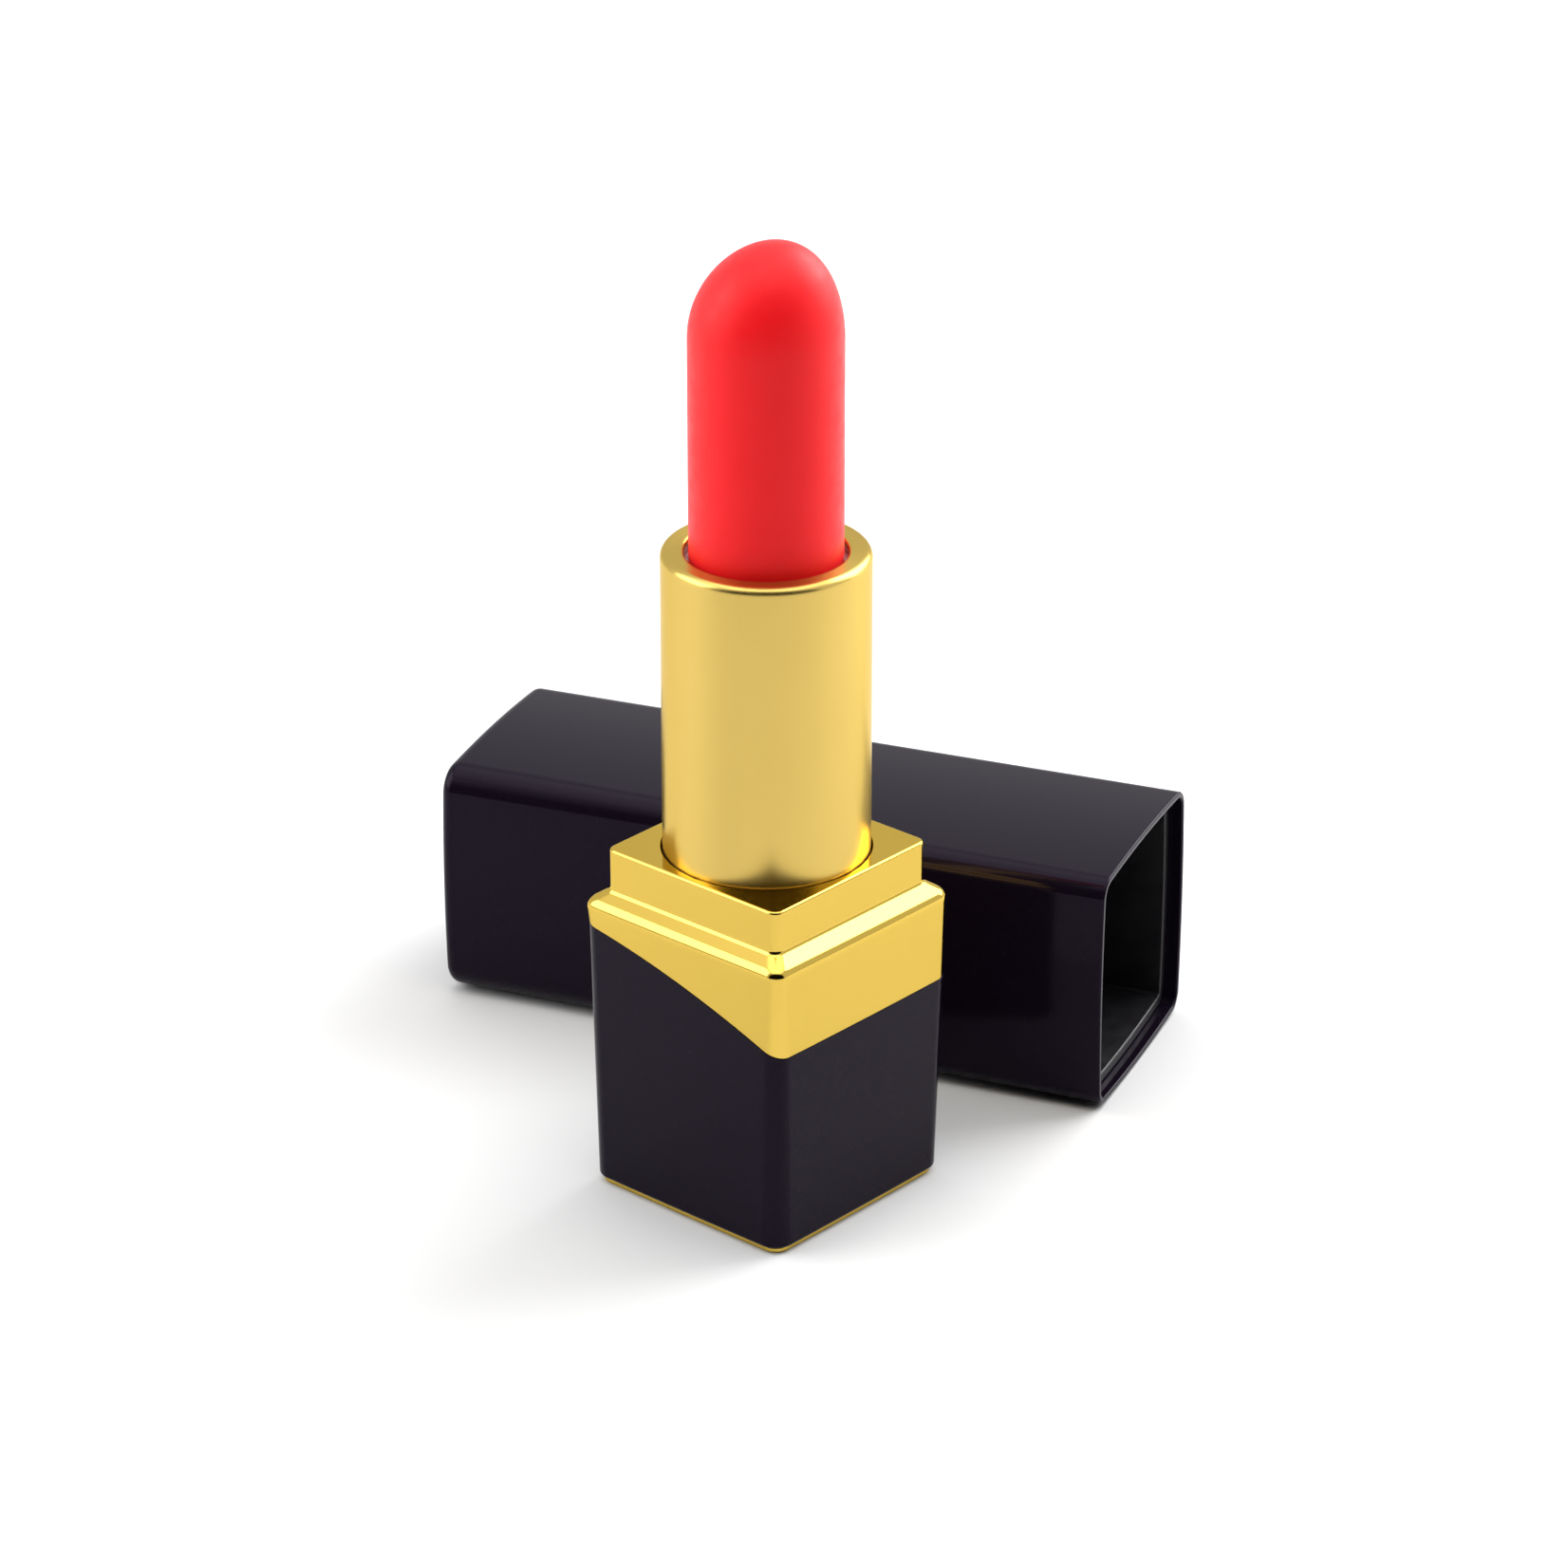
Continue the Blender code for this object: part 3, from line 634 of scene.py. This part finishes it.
class Workshop:
    """Keeps one material of each finish, and hands pieces over to their bodies."""

    def __init__(self) -> None:
        """Make every finish once."""
        self.materials = {slot: finish.build() for slot, finish in FINISHES.items()}

    def dress(self, piece: bpy.types.Object, slot: Slot) -> None:
        """Put a finish on a piece in place of what it has.

        Args:
            piece: The object to dress.
            slot: The finish.
        """
        piece.data.materials.clear()
        piece.data.materials.append(self.materials[slot])

    def fit(self, piece: bpy.types.Object, slot: Slot, body: Body, node: str) -> None:
        """Dress a new piece, let it ride on its body and stand for its node, and report it.

        Args:
            piece: The new object.
            slot: Its finish.
            body: The body that it rides on.
            node: The node of the frame that it stands for.
        """
        self.dress(piece, slot)
        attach(piece, body.value)
        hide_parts(node)
        LOG.info("%s: %d faces, on %s", piece.name, len(piece.data.polygons), body.value)


# ---------------------------------------------------------------- sub-assemblies


@dataclass
class Case:
    """Sizes that the pieces of the square base share."""

    half: float = 10.5 * MM
    foot_half: float = 10.15 * MM
    foot_corner: float = 1.7 * MM
    shoulder_corner: float = 1.4 * MM
    crown: float = math.radians(0.5)
    shoulder: float = 25.1 * MM
    yaw: float = math.radians(-19.69)
    line_high: float = 23.3 * MM
    line_low: float = 17.6 * MM
    seam: float = 0.05 * MM

    @property
    def foot(self) -> float:
        """Level of the shell's lower end."""
        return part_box("base_shell")[0].z

    @property
    def line_middle(self) -> float:
        """Height of the curved line at the case's axis."""
        return float(self.line(np.zeros(1))[0])

    def half_at(self, level: np.ndarray) -> np.ndarray:
        """Give the half width at each level, which grows evenly from the foot to the shoulder."""
        return np.interp(level, [self.foot, self.shoulder], [self.foot_half, self.half])

    def corner_at(self, level: np.ndarray) -> np.ndarray:
        """Give the corner radius at each level, which falls evenly from the foot to the shoulder."""
        return np.interp(level, [self.foot, self.shoulder], [self.foot_corner, self.shoulder_corner])

    def line(self, across: np.ndarray) -> np.ndarray:
        """Give the height of the line between black and gold.

        With t the share of the way across the case, the line falls from high to low by the mean of t and its
        square, so it starts gently and ends steeply.

        Args:
            across: Place along the base's own X axis.

        Returns:
            Height at each place.
        """
        share = (across + self.half) / (2 * self.half)
        return self.line_high - (self.line_high - self.line_low) * (share + share**2) / 2

    def lift(self, grid: np.ndarray, share: np.ndarray) -> None:
        """Raise a grid's points by a share of the line's height above its middle."""
        grid[..., 2] += share * (self.line(grid[..., 0]) - self.line_middle)

    def stand(self, grid: np.ndarray) -> np.ndarray:
        """Turn a grid from the base's own axes into the frame's."""
        return turn_about_z(grid, self.yaw)


@dataclass
class Cap:
    """The lying cap: a lacquered shell and the liner inside its mouth."""

    mouth_corner: float = 1.8 * MM
    end_corner: float = 2.5 * MM
    crown: float = math.radians(3.8)
    end_edge: float = 1.0 * MM
    wall: float = 0.55 * MM
    seam: float = 0.05 * MM
    rim_edge: float = 0.16 * MM
    liner_wall: float = 0.9 * MM
    liner_edge: float = 1.0 * MM
    setback: float = 1.2 * MM
    end_gap: float = 0.3 * MM
    centre_gap: float = 0.2 * MM
    panels: int = 12

    def lay(self, grid: np.ndarray) -> np.ndarray:
        """Lay a grid built upright onto its side: its height runs along X, from the closed end."""
        low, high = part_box("cap_shell")
        return grid[..., [2, 0, 1]] + np.array([low.x, (low.y + high.y) / 2, (low.z + high.z) / 2])

    def cup_skin(
        self, half: float, inset: float, edge: float, wall: float, low: float, high: float
    ) -> np.ndarray:
        """Make a square cup with a closed lower end.

        The path runs from the middle of the closed end, round its edge, up the outside, over the rim and down
        the inside to the middle of the inner end. The corner radius falls evenly towards the mouth.

        Args:
            half: Half width outside.
            inset: Depth of the cup's outside under the cap's own outside.
            edge: Radius of the closed end's edges outside.
            wall: Wall thickness.
            low: Level of the closed end.
            high: Level of the mouth.

        Returns:
            Grid of the cup's skin.
        """
        middle = half - self.centre_gap
        outside = [(0, level) for level in np.linspace(low, high, self.panels + 1)]
        inside = [(wall, level) for level in np.linspace(high, low + wall, self.panels + 1)]
        corners = np.array([(middle, low), *outside, *inside, (middle, low + wall)])
        inner_edge = max(edge - wall, self.rim_edge)
        radii = np.zeros(len(corners))
        radii[[1, self.panels + 1, self.panels + 2, -2]] = edge, self.rim_edge, self.rim_edge, inner_edge
        path = rounded_path(corners, radii, closed=False)
        level_corner = np.interp(path[:, 1], [low, high], [self.end_corner, self.mouth_corner])
        halves = np.full(len(path), half)
        return square_skin(path, halves, level_corner - inset - path[:, 0], self.crown)

    def build(self, shop: Workshop) -> None:
        """Make the shell and the liner.

        Args:
            shop: The workshop that dresses the pieces and fits them to their bodies.
        """
        low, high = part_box("cap_shell")
        length, half = high.x - low.x, (high.z - low.z) / 2
        skin = self.cup_skin(half, 0.0, self.end_edge, self.wall, 0.0, length)
        shell = skin_mesh("cap_shell_skin", self.lay(skin), False)
        shop.fit(shell, Slot.BLACK_LACQUER, Body.CAP, "cap_shell")
        inset = self.wall + self.seam
        start, end = self.wall + self.end_gap, length - self.setback
        skin = self.cup_skin(half - inset, inset, self.liner_edge, self.liner_wall, start, end)
        liner = skin_mesh("cap_liner_skin", self.lay(skin), False)
        shop.fit(liner, Slot.BLACK_PLASTIC, Body.CAP, "cap_liner")


@dataclass
class Base:
    """The black shell and the gold foot that it stands on."""

    case: Case
    wall: float = 0.7 * MM
    foot_edge: float = 0.35 * MM
    top_edge: float = 0.05 * MM
    flange: float = 2.6 * MM
    flange_edge: float = 0.1 * MM
    foot_inset: float = 0.4 * MM
    foot_rim: float = 2.0 * MM
    foot_round: float = 0.12 * MM
    spigot: float = 0.2 * MM
    label_bore: float = 6.45 * MM
    label_depth: float = 0.15 * MM
    foot_sharp: float = 30.0

    def shell_skin(self) -> np.ndarray:
        """Make the shell: a closed path round its wall and foot flange, stretched up to the curved line.

        A point is lifted by the line's height above its middle, times the share of the way that the point's
        level is from the foot's edge to the line's middle, so the foot stays level.

        Returns:
            Grid of the shell's skin in the base's own axes.
        """
        low, top = self.case.foot, self.case.line_middle
        floor = low + self.wall
        wall, flange, edge = self.wall, self.flange, self.flange_edge
        corners = np.array([(0, low), (0, top), (wall, top), (wall, floor), (flange, floor), (flange, low)])
        radii = np.array([self.foot_edge, self.top_edge, self.top_edge, edge, edge, edge])
        path = rounded_path(corners, radii, closed=True)
        inset, level = path.T
        corner = self.case.corner_at(level) - inset
        grid = square_skin(path, self.case.half_at(level), corner, self.case.crown)
        start = low + self.foot_edge
        self.case.lift(grid, np.clip((grid[..., 2] - start) / (top - start), 0, 1))
        return grid

    def foot_skin(self) -> np.ndarray:
        """Make the foot plate: a square rim whose inner side runs round the label.

        The outer points are a rounded square and the inner ones circles at the same bearings.

        Returns:
            Grid of the foot's skin in the base's own axes.
        """
        height = self.case.foot - self.case.seam
        rim = rounded_path(
            np.array([(self.foot_rim, 0), (0, 0), (0, height), (self.foot_rim, height)]),
            np.array([0, self.foot_round, self.foot_round, 0]),
            closed=False,
        )
        halves = np.full(len(rim), self.case.foot_half - self.foot_inset)
        corners = self.case.foot_corner - self.foot_inset - rim[:, 0]
        square = square_skin(rim, halves, corners, self.case.crown)
        bearing = np.arctan2(square[0, :, 1], square[0, :, 0])
        bore = np.array(
            [
                (self.label_bore, height),
                (self.spigot, height),
                (self.spigot, self.label_depth),
                (self.label_bore, self.label_depth),
                (self.label_bore, 0),
            ]
        )
        return np.concatenate([square, ring_at(bearing, bore)], axis=0)

    def build(self, shop: Workshop) -> None:
        """Make the shell and the foot.

        Args:
            shop: The workshop that dresses the pieces and fits them to their bodies.
        """
        shell = skin_mesh("base_shell_skin", self.case.stand(self.shell_skin()), True)
        shop.fit(shell, Slot.BLACK_LACQUER, Body.BASE, "base_shell")
        foot = skin_mesh("foot_plate_skin", self.case.stand(self.foot_skin()), True, self.foot_sharp)
        shop.fit(foot, Slot.GOLD_POLISHED, Body.BASE, "foot_plate")


@dataclass
class Collar:
    """The gold band, its sloping shoulder and the square neck round the sleeve."""

    case: Case
    shoulder_rise: float = 1.0 * MM
    shoulder_round: float = 1.1 * MM
    root_round: float = 0.5 * MM
    neck_half: float = 9.05 * MM
    neck_edge: float = 0.25 * MM
    neck_corner: float = 0.9 * MM
    skirt_inset: float = 0.76 * MM
    skirt_low: float = 15.0 * MM
    skirt_root: float = 0.05 * MM
    bore: float = 8.4 * MM
    bore_edge: float = 0.08 * MM
    line_edge: float = 0.05 * MM

    def skin(self) -> np.ndarray:
        """Make the collar.

        The outer path runs up the skirt inside the shell, out along the curved line, up the band, in over the
        shoulder and up the neck. The inner path is the sleeve's bore, circles at the bearings of the square's
        points. What lies near the line is lifted by it, fading to nothing at the shoulder above and at the
        skirt's end below.

        Returns:
            Grid of the collar's skin in the base's own axes.
        """
        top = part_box("collar")[1].z
        line = self.case.line_middle + self.case.seam
        neck_inset = self.case.half - self.neck_half
        corners = np.array(
            [
                (self.skirt_inset, self.skirt_low),
                (self.skirt_inset, line),
                (0, line),
                (0, self.case.shoulder),
                (neck_inset, self.case.shoulder + self.shoulder_rise),
                (neck_inset, top),
                (self.case.half - self.bore - self.bore_edge, top),
            ]
        )
        radii = np.array(
            [0, self.skirt_root, self.line_edge, self.shoulder_round, self.root_round, self.neck_edge, 0]
        )
        path = rounded_path(corners, radii, closed=False)
        inset, level = path.T
        band_top = self.case.shoulder - self.shoulder_round
        deeper = np.where(level <= band_top, inset, np.maximum(inset - neck_inset, 0))
        rise = [band_top, self.case.shoulder + self.shoulder_rise]
        crown = np.interp(level, rise, [self.case.crown, FLAT])
        slimmer = np.interp(level, rise, [0, self.case.shoulder_corner - self.neck_corner])
        halves = self.case.half_at(level)
        square = square_skin(path, halves, self.case.corner_at(level) - slimmer - deeper, crown)
        bearing = np.arctan2(square[-1, :, 1], square[-1, :, 0])
        bore = rounded_path(
            np.array([(self.bore + 2 * self.bore_edge, top), (self.bore, top), (self.bore, self.skirt_low)]),
            np.array([0, self.bore_edge, 0]),
            closed=False,
            steps=4,
        )
        grid = np.concatenate([square, ring_at(bearing, bore[1:])], axis=0)
        height = grid[..., 2]
        above = np.clip((band_top - height) / (band_top - line), 0, 1)
        below = np.clip((height - self.skirt_low) / (line - self.skirt_low), 0, 1)
        outside = (np.arange(len(grid)) < len(square))[:, None]
        self.case.lift(grid, np.minimum(above, below) * outside)
        return grid

    def build(self, shop: Workshop) -> None:
        """Make the collar."""
        piece = skin_mesh("collar_skin", self.case.stand(self.skin()), True)
        shop.fit(piece, Slot.GOLD_POLISHED, Body.BASE, "collar")


@dataclass
class Sleeve:
    """The round gold sleeve with its rolled lip."""

    wall: float = 0.5 * MM
    lip_bore: float = 6.4 * MM
    lip_thickness: float = 0.7 * MM
    outer_round: float = 0.6 * MM
    inner_round: float = 0.34 * MM
    root_round: float = 0.08 * MM
    end_round: float = 0.1 * MM
    count: int = 192

    def build(self, shop: Workshop) -> None:
        """Make the sleeve as a closed path turned round the axis: outside, lip, inside and lower end.

        Args:
            shop: The workshop that dresses the pieces and fits them to their bodies.
        """
        low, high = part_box("outer_sleeve")
        radius = (high.x - low.x) / 2
        bore = radius - self.wall
        lip = high.z - self.lip_thickness
        corners = np.array(
            [
                (radius, low.z),
                (radius, high.z),
                (self.lip_bore, high.z),
                (self.lip_bore, lip),
                (bore, lip),
                (bore, low.z),
            ]
        )
        end, inner = self.end_round, self.inner_round
        radii = np.array([end, self.outer_round, inner, inner, self.root_round, end])
        grid = turned_skin(rounded_path(corners, radii, closed=True, steps=10), self.count)
        shop.fit(skin_mesh("sleeve_skin", grid, True), Slot.GOLD_SATIN, Body.SLEEVE, "outer_sleeve")


@dataclass
class Bullet:
    """The wax bullet with its leaning dome."""

    case: Case
    radius: float = 6.05 * MM
    dome: float = 7.65 * MM
    lean: float = 0.8 * MM
    lean_bearing: float = math.radians(42)
    foot_round: float = 0.3 * MM
    side_gap: float = 0.6 * MM
    side_rings: int = 24
    count: int = 160
    dome_steps: int = 40
    tip_share: float = 0.995

    def skin(self) -> np.ndarray:
        """Make the bullet.

        The dome is a quarter of an ellipse, radius cos t and height dome sin t, whose points are pushed
        sideways by the lean times the square of their share of the dome's height.

        Returns:
            Grid of the bullet's skin in the base's own axes.
        """
        low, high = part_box("bullet")
        shoulder = high.z - self.dome
        turn = np.linspace(0, math.pi / 2 * self.tip_share, self.dome_steps)
        dome = np.stack([self.radius * np.cos(turn), shoulder + self.dome * np.sin(turn)], axis=1)
        foot = rounded_path(
            np.array([(self.foot_round, low.z), (self.radius, low.z), (self.radius, shoulder)]),
            np.array([0, self.foot_round, 0]),
            closed=False,
        )
        levels = np.linspace(low.z + self.side_gap, shoulder - self.side_gap, self.side_rings)
        side = np.stack([np.full(self.side_rings, self.radius), levels], axis=1)
        grid = turned_skin(np.vstack([foot[:-1], side, dome]), self.count)
        share = np.clip((grid[..., 2] - shoulder) / self.dome, 0, 1) ** 2
        grid[..., 0] += share * self.lean * math.cos(self.lean_bearing)
        grid[..., 1] += share * self.lean * math.sin(self.lean_bearing)
        return grid

    def build(self, shop: Workshop) -> None:
        """Make the bullet."""
        piece = skin_mesh("bullet_skin", self.case.stand(self.skin()), False)
        shop.fit(piece, Slot.RED_WAX, Body.CARRIER, "bullet")


@dataclass
class Mechanism:
    """The inner pieces, whose frame shapes are kept and dressed."""

    finishes: dict[str, Slot] = field(
        default_factory=lambda: {
            "shade_label": Slot.LABEL,
            "base_insert": Slot.BLACK_PLASTIC,
            "base_weight": Slot.STEEL,
            "inner_body": Slot.WHITE_PLASTIC,
            "brake_ring": Slot.RUBBER,
            "spiral_sleeve": Slot.WHITE_PLASTIC,
            "carrier_cup": Slot.WHITE_PLASTIC,
        }
    )

    def build(self, shop: Workshop) -> None:
        """Dress each inner piece.

        Args:
            shop: The workshop that dresses the pieces and fits them to their bodies.
        """
        for node, slot in self.finishes.items():
            shop.dress(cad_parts[node], slot)
            LOG.info("%s: dressed in %s", node, slot.value)


# ---------------------------------------------------------------- studio


@dataclass(frozen=True)
class Panel:
    """A soft panel of light round a direction: full where the cosine to it is over end, none under start."""

    direction: tuple[float, float, float]
    start: float
    end: float
    strength: float

    def add_to(self, tree: bpy.types.NodeTree, way: bpy.types.NodeSocket) -> bpy.types.NodeSocket:
        """Add the panel's nodes.

        Args:
            tree: Node tree to add to.
            way: Socket that gives the direction, of length one.

        Returns:
            The socket of the panel's light.
        """
        cosine = tree.nodes.new("ShaderNodeVectorMath")
        cosine.operation = "DOT_PRODUCT"
        cosine.inputs[1].default_value = self.direction
        tree.links.new(way, cosine.inputs[0])
        ramp = tree.nodes.new("ShaderNodeMapRange")
        ramp.interpolation_type = "SMOOTHSTEP"
        ramp.inputs["From Min"].default_value = self.start
        ramp.inputs["From Max"].default_value = self.end
        ramp.inputs["To Min"].default_value = 0.0
        ramp.inputs["To Max"].default_value = self.strength
        tree.links.new(cosine.outputs["Value"], ramp.inputs["Value"])
        return ramp.outputs["Result"]


@dataclass(frozen=True)
class Softbox:
    """A square softbox: its direction, as shares to the camera's right, front and up, and its brightness."""

    name: str
    right: float
    front: float
    up: float
    distance: float
    size: float
    radiance: float


@dataclass
class Studio:
    """A white floor in a light tent, with the camera in front and above and a dark room behind it."""

    bearing: float = math.radians(21.9)
    pitch: float = math.radians(24.9)
    lens: float = 135.8
    sensor: float = 36.0
    view_depth: tuple[float, float] = (0.01, 50.0)
    camera_place: tuple[float, float, float] = (0.1590, -0.39185, 0.23118)
    floor_half: float = 6.0
    floor_drop: float = 0.02 * MM
    floor_white: float = 0.66
    ambient: float = 0.85
    ceiling: Panel = Panel((0.0, 0.0, 1.0), 0.68, 0.95, 1.7)
    softboxes: tuple[Softbox, ...] = (
        Softbox("softbox_right", 0.80, -0.60, 0.70, 0.50, 0.40, 6.0),
        Softbox("softbox_left", -0.85, 0.0, 0.50, 0.55, 0.40, 3.2),
    )
    room_radius: float = 3.0
    room_spread: float = math.radians(70)
    room_steps: int = 14
    room_start: float = 0.42
    room_end: float = 0.62
    room_black: float = 0.01

    def sideways(self, right: float, front: float, up: float) -> tuple[float, float, float]:
        """Give a direction, of length one, from its shares along the camera's own sides.

        Args:
            right: Share to the camera's right.
            front: Share towards the camera.
            up: Share upwards.

        Returns:
            The direction in the frame.
        """
        cos, sin = math.cos(self.bearing), math.sin(self.bearing)
        way = np.array([right * cos + front * sin, right * sin - front * cos, up])
        return tuple(float(value) for value in way / np.linalg.norm(way))

    def camera(self) -> None:
        """Place the camera."""
        data = bpy.data.cameras.new("camera")
        data.lens = self.lens
        data.sensor_width = self.sensor
        data.clip_start, data.clip_end = self.view_depth
        camera = bpy.data.objects.new("camera", data)
        camera.location = self.camera_place
        camera.rotation_euler = (math.pi / 2 - self.pitch, 0, self.bearing)
        bpy.context.scene.collection.objects.link(camera)
        bpy.context.scene.camera = camera

    def floor(self) -> None:
        """Lay the floor."""
        half, level = self.floor_half, -self.floor_drop
        mesh = bpy.data.meshes.new("floor")
        corners = [(-half, -half, level), (half, -half, level), (half, half, level), (-half, half, level)]
        mesh.from_pydata(corners, [], [(0, 1, 2, 3)])
        floor = bpy.data.objects.new("floor", mesh)
        bpy.context.scene.collection.objects.link(floor)
        recipe = Recipe("floor_white")
        recipe.set(Base_Color=(*[self.floor_white] * 3, 1.0), Roughness=0.9, Specular_IOR_Level=0.0)
        mesh.materials.append(recipe.material)

    def dark_room(self) -> None:
        """Hang the dark side of the room: a black patch of a sphere round the camera's side.

        Points stand at the room's radius, by bearing and height angle. The patch fades out where the cosine
        to the camera's side falls, and the camera itself doesn't see it.
        """
        spread = np.linspace(-self.room_spread, self.room_spread, 2 * self.room_steps + 1)
        bearing = self.bearing - math.pi / 2 + spread
        height = np.linspace(0, self.room_spread, self.room_steps + 1)[:, None]
        level = np.sin(height) + 0 * bearing
        grid = np.stack([np.cos(height) * np.cos(bearing), np.cos(height) * np.sin(bearing), level], axis=-1)
        rows, columns = grid.shape[:2]
        index = np.arange(rows * columns).reshape(rows, columns)
        quads = np.stack([index[:-1, :-1], index[:-1, 1:], index[1:, 1:], index[1:, :-1]], axis=-1)
        mesh = bpy.data.meshes.new("dark_room")
        places = grid.reshape(-1, 3) * self.room_radius
        mesh.from_pydata(places.tolist(), [], quads.reshape(-1, 4).tolist())
        room = bpy.data.objects.new("dark_room", mesh)
        bpy.context.scene.collection.objects.link(room)
        room.visible_camera = False
        recipe = Recipe("dark_room")
        unit = recipe.tree.nodes.new("ShaderNodeVectorMath")
        unit.operation = "NORMALIZE"
        recipe.tree.links.new(recipe.place, unit.inputs[0])
        patch = Panel(self.sideways(0.0, 1.0, 0.0), self.room_start, self.room_end, 1.0)
        recipe.feed("Alpha", patch.add_to(recipe.tree, unit.outputs["Vector"]))
        recipe.set(Base_Color=(*[self.room_black] * 3, 1.0), Roughness=1.0, Specular_IOR_Level=0.0)
        mesh.materials.append(recipe.material)

    def tent(self) -> None:
        """Light the tent: even white, with a brighter soft panel above."""
        world = bpy.data.worlds.new("tent")
        bpy.context.scene.world = world
        world.use_nodes = True
        tree = world.node_tree
        way = tree.nodes.new("ShaderNodeTexCoord").outputs["Generated"]
        total = tree.nodes.new("ShaderNodeMath")
        total.operation = "ADD"
        total.inputs[0].default_value = self.ambient
        tree.links.new(self.ceiling.add_to(tree, way), total.inputs[1])
        sky = tree.nodes["Background"]
        sky.inputs["Color"].default_value = (1.0, 1.0, 1.0, 1.0)
        tree.links.new(total.outputs["Value"], sky.inputs["Strength"])

    def softbox(self, box: Softbox) -> None:
        """Hang a softbox, facing the object.

        An even square lamp of radiance L and side a gives out a power of pi L a squared.

        Args:
            box: The softbox.
        """
        data = bpy.data.lights.new(box.name, "AREA")
        data.size = box.size
        data.energy = box.radiance * math.pi * box.size**2
        light = bpy.data.objects.new(box.name, data)
        place = Vector(self.sideways(box.right, box.front, box.up)) * box.distance
        light.location = place
        light.rotation_euler = place.to_track_quat("Z", "Y").to_euler()
        bpy.context.scene.collection.objects.link(light)

    def build(self) -> None:
        """Make camera, floor and light, and show colours as they are."""
        self.camera()
        self.floor()
        self.dark_room()
        self.tent()
        for box in self.softboxes:
            self.softbox(box)
        bpy.context.scene.view_settings.view_transform = "Standard"


def main() -> None:
    """Build every piece."""
    logging.basicConfig(level=logging.INFO, format="%(message)s")
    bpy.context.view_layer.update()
    Studio().build()
    shop = Workshop()
    case = Case()
    for assembly in (Cap(), Base(case), Collar(case), Sleeve(), Bullet(case), Mechanism()):
        assembly.build(shop)


if __name__ == "__main__":
    main()
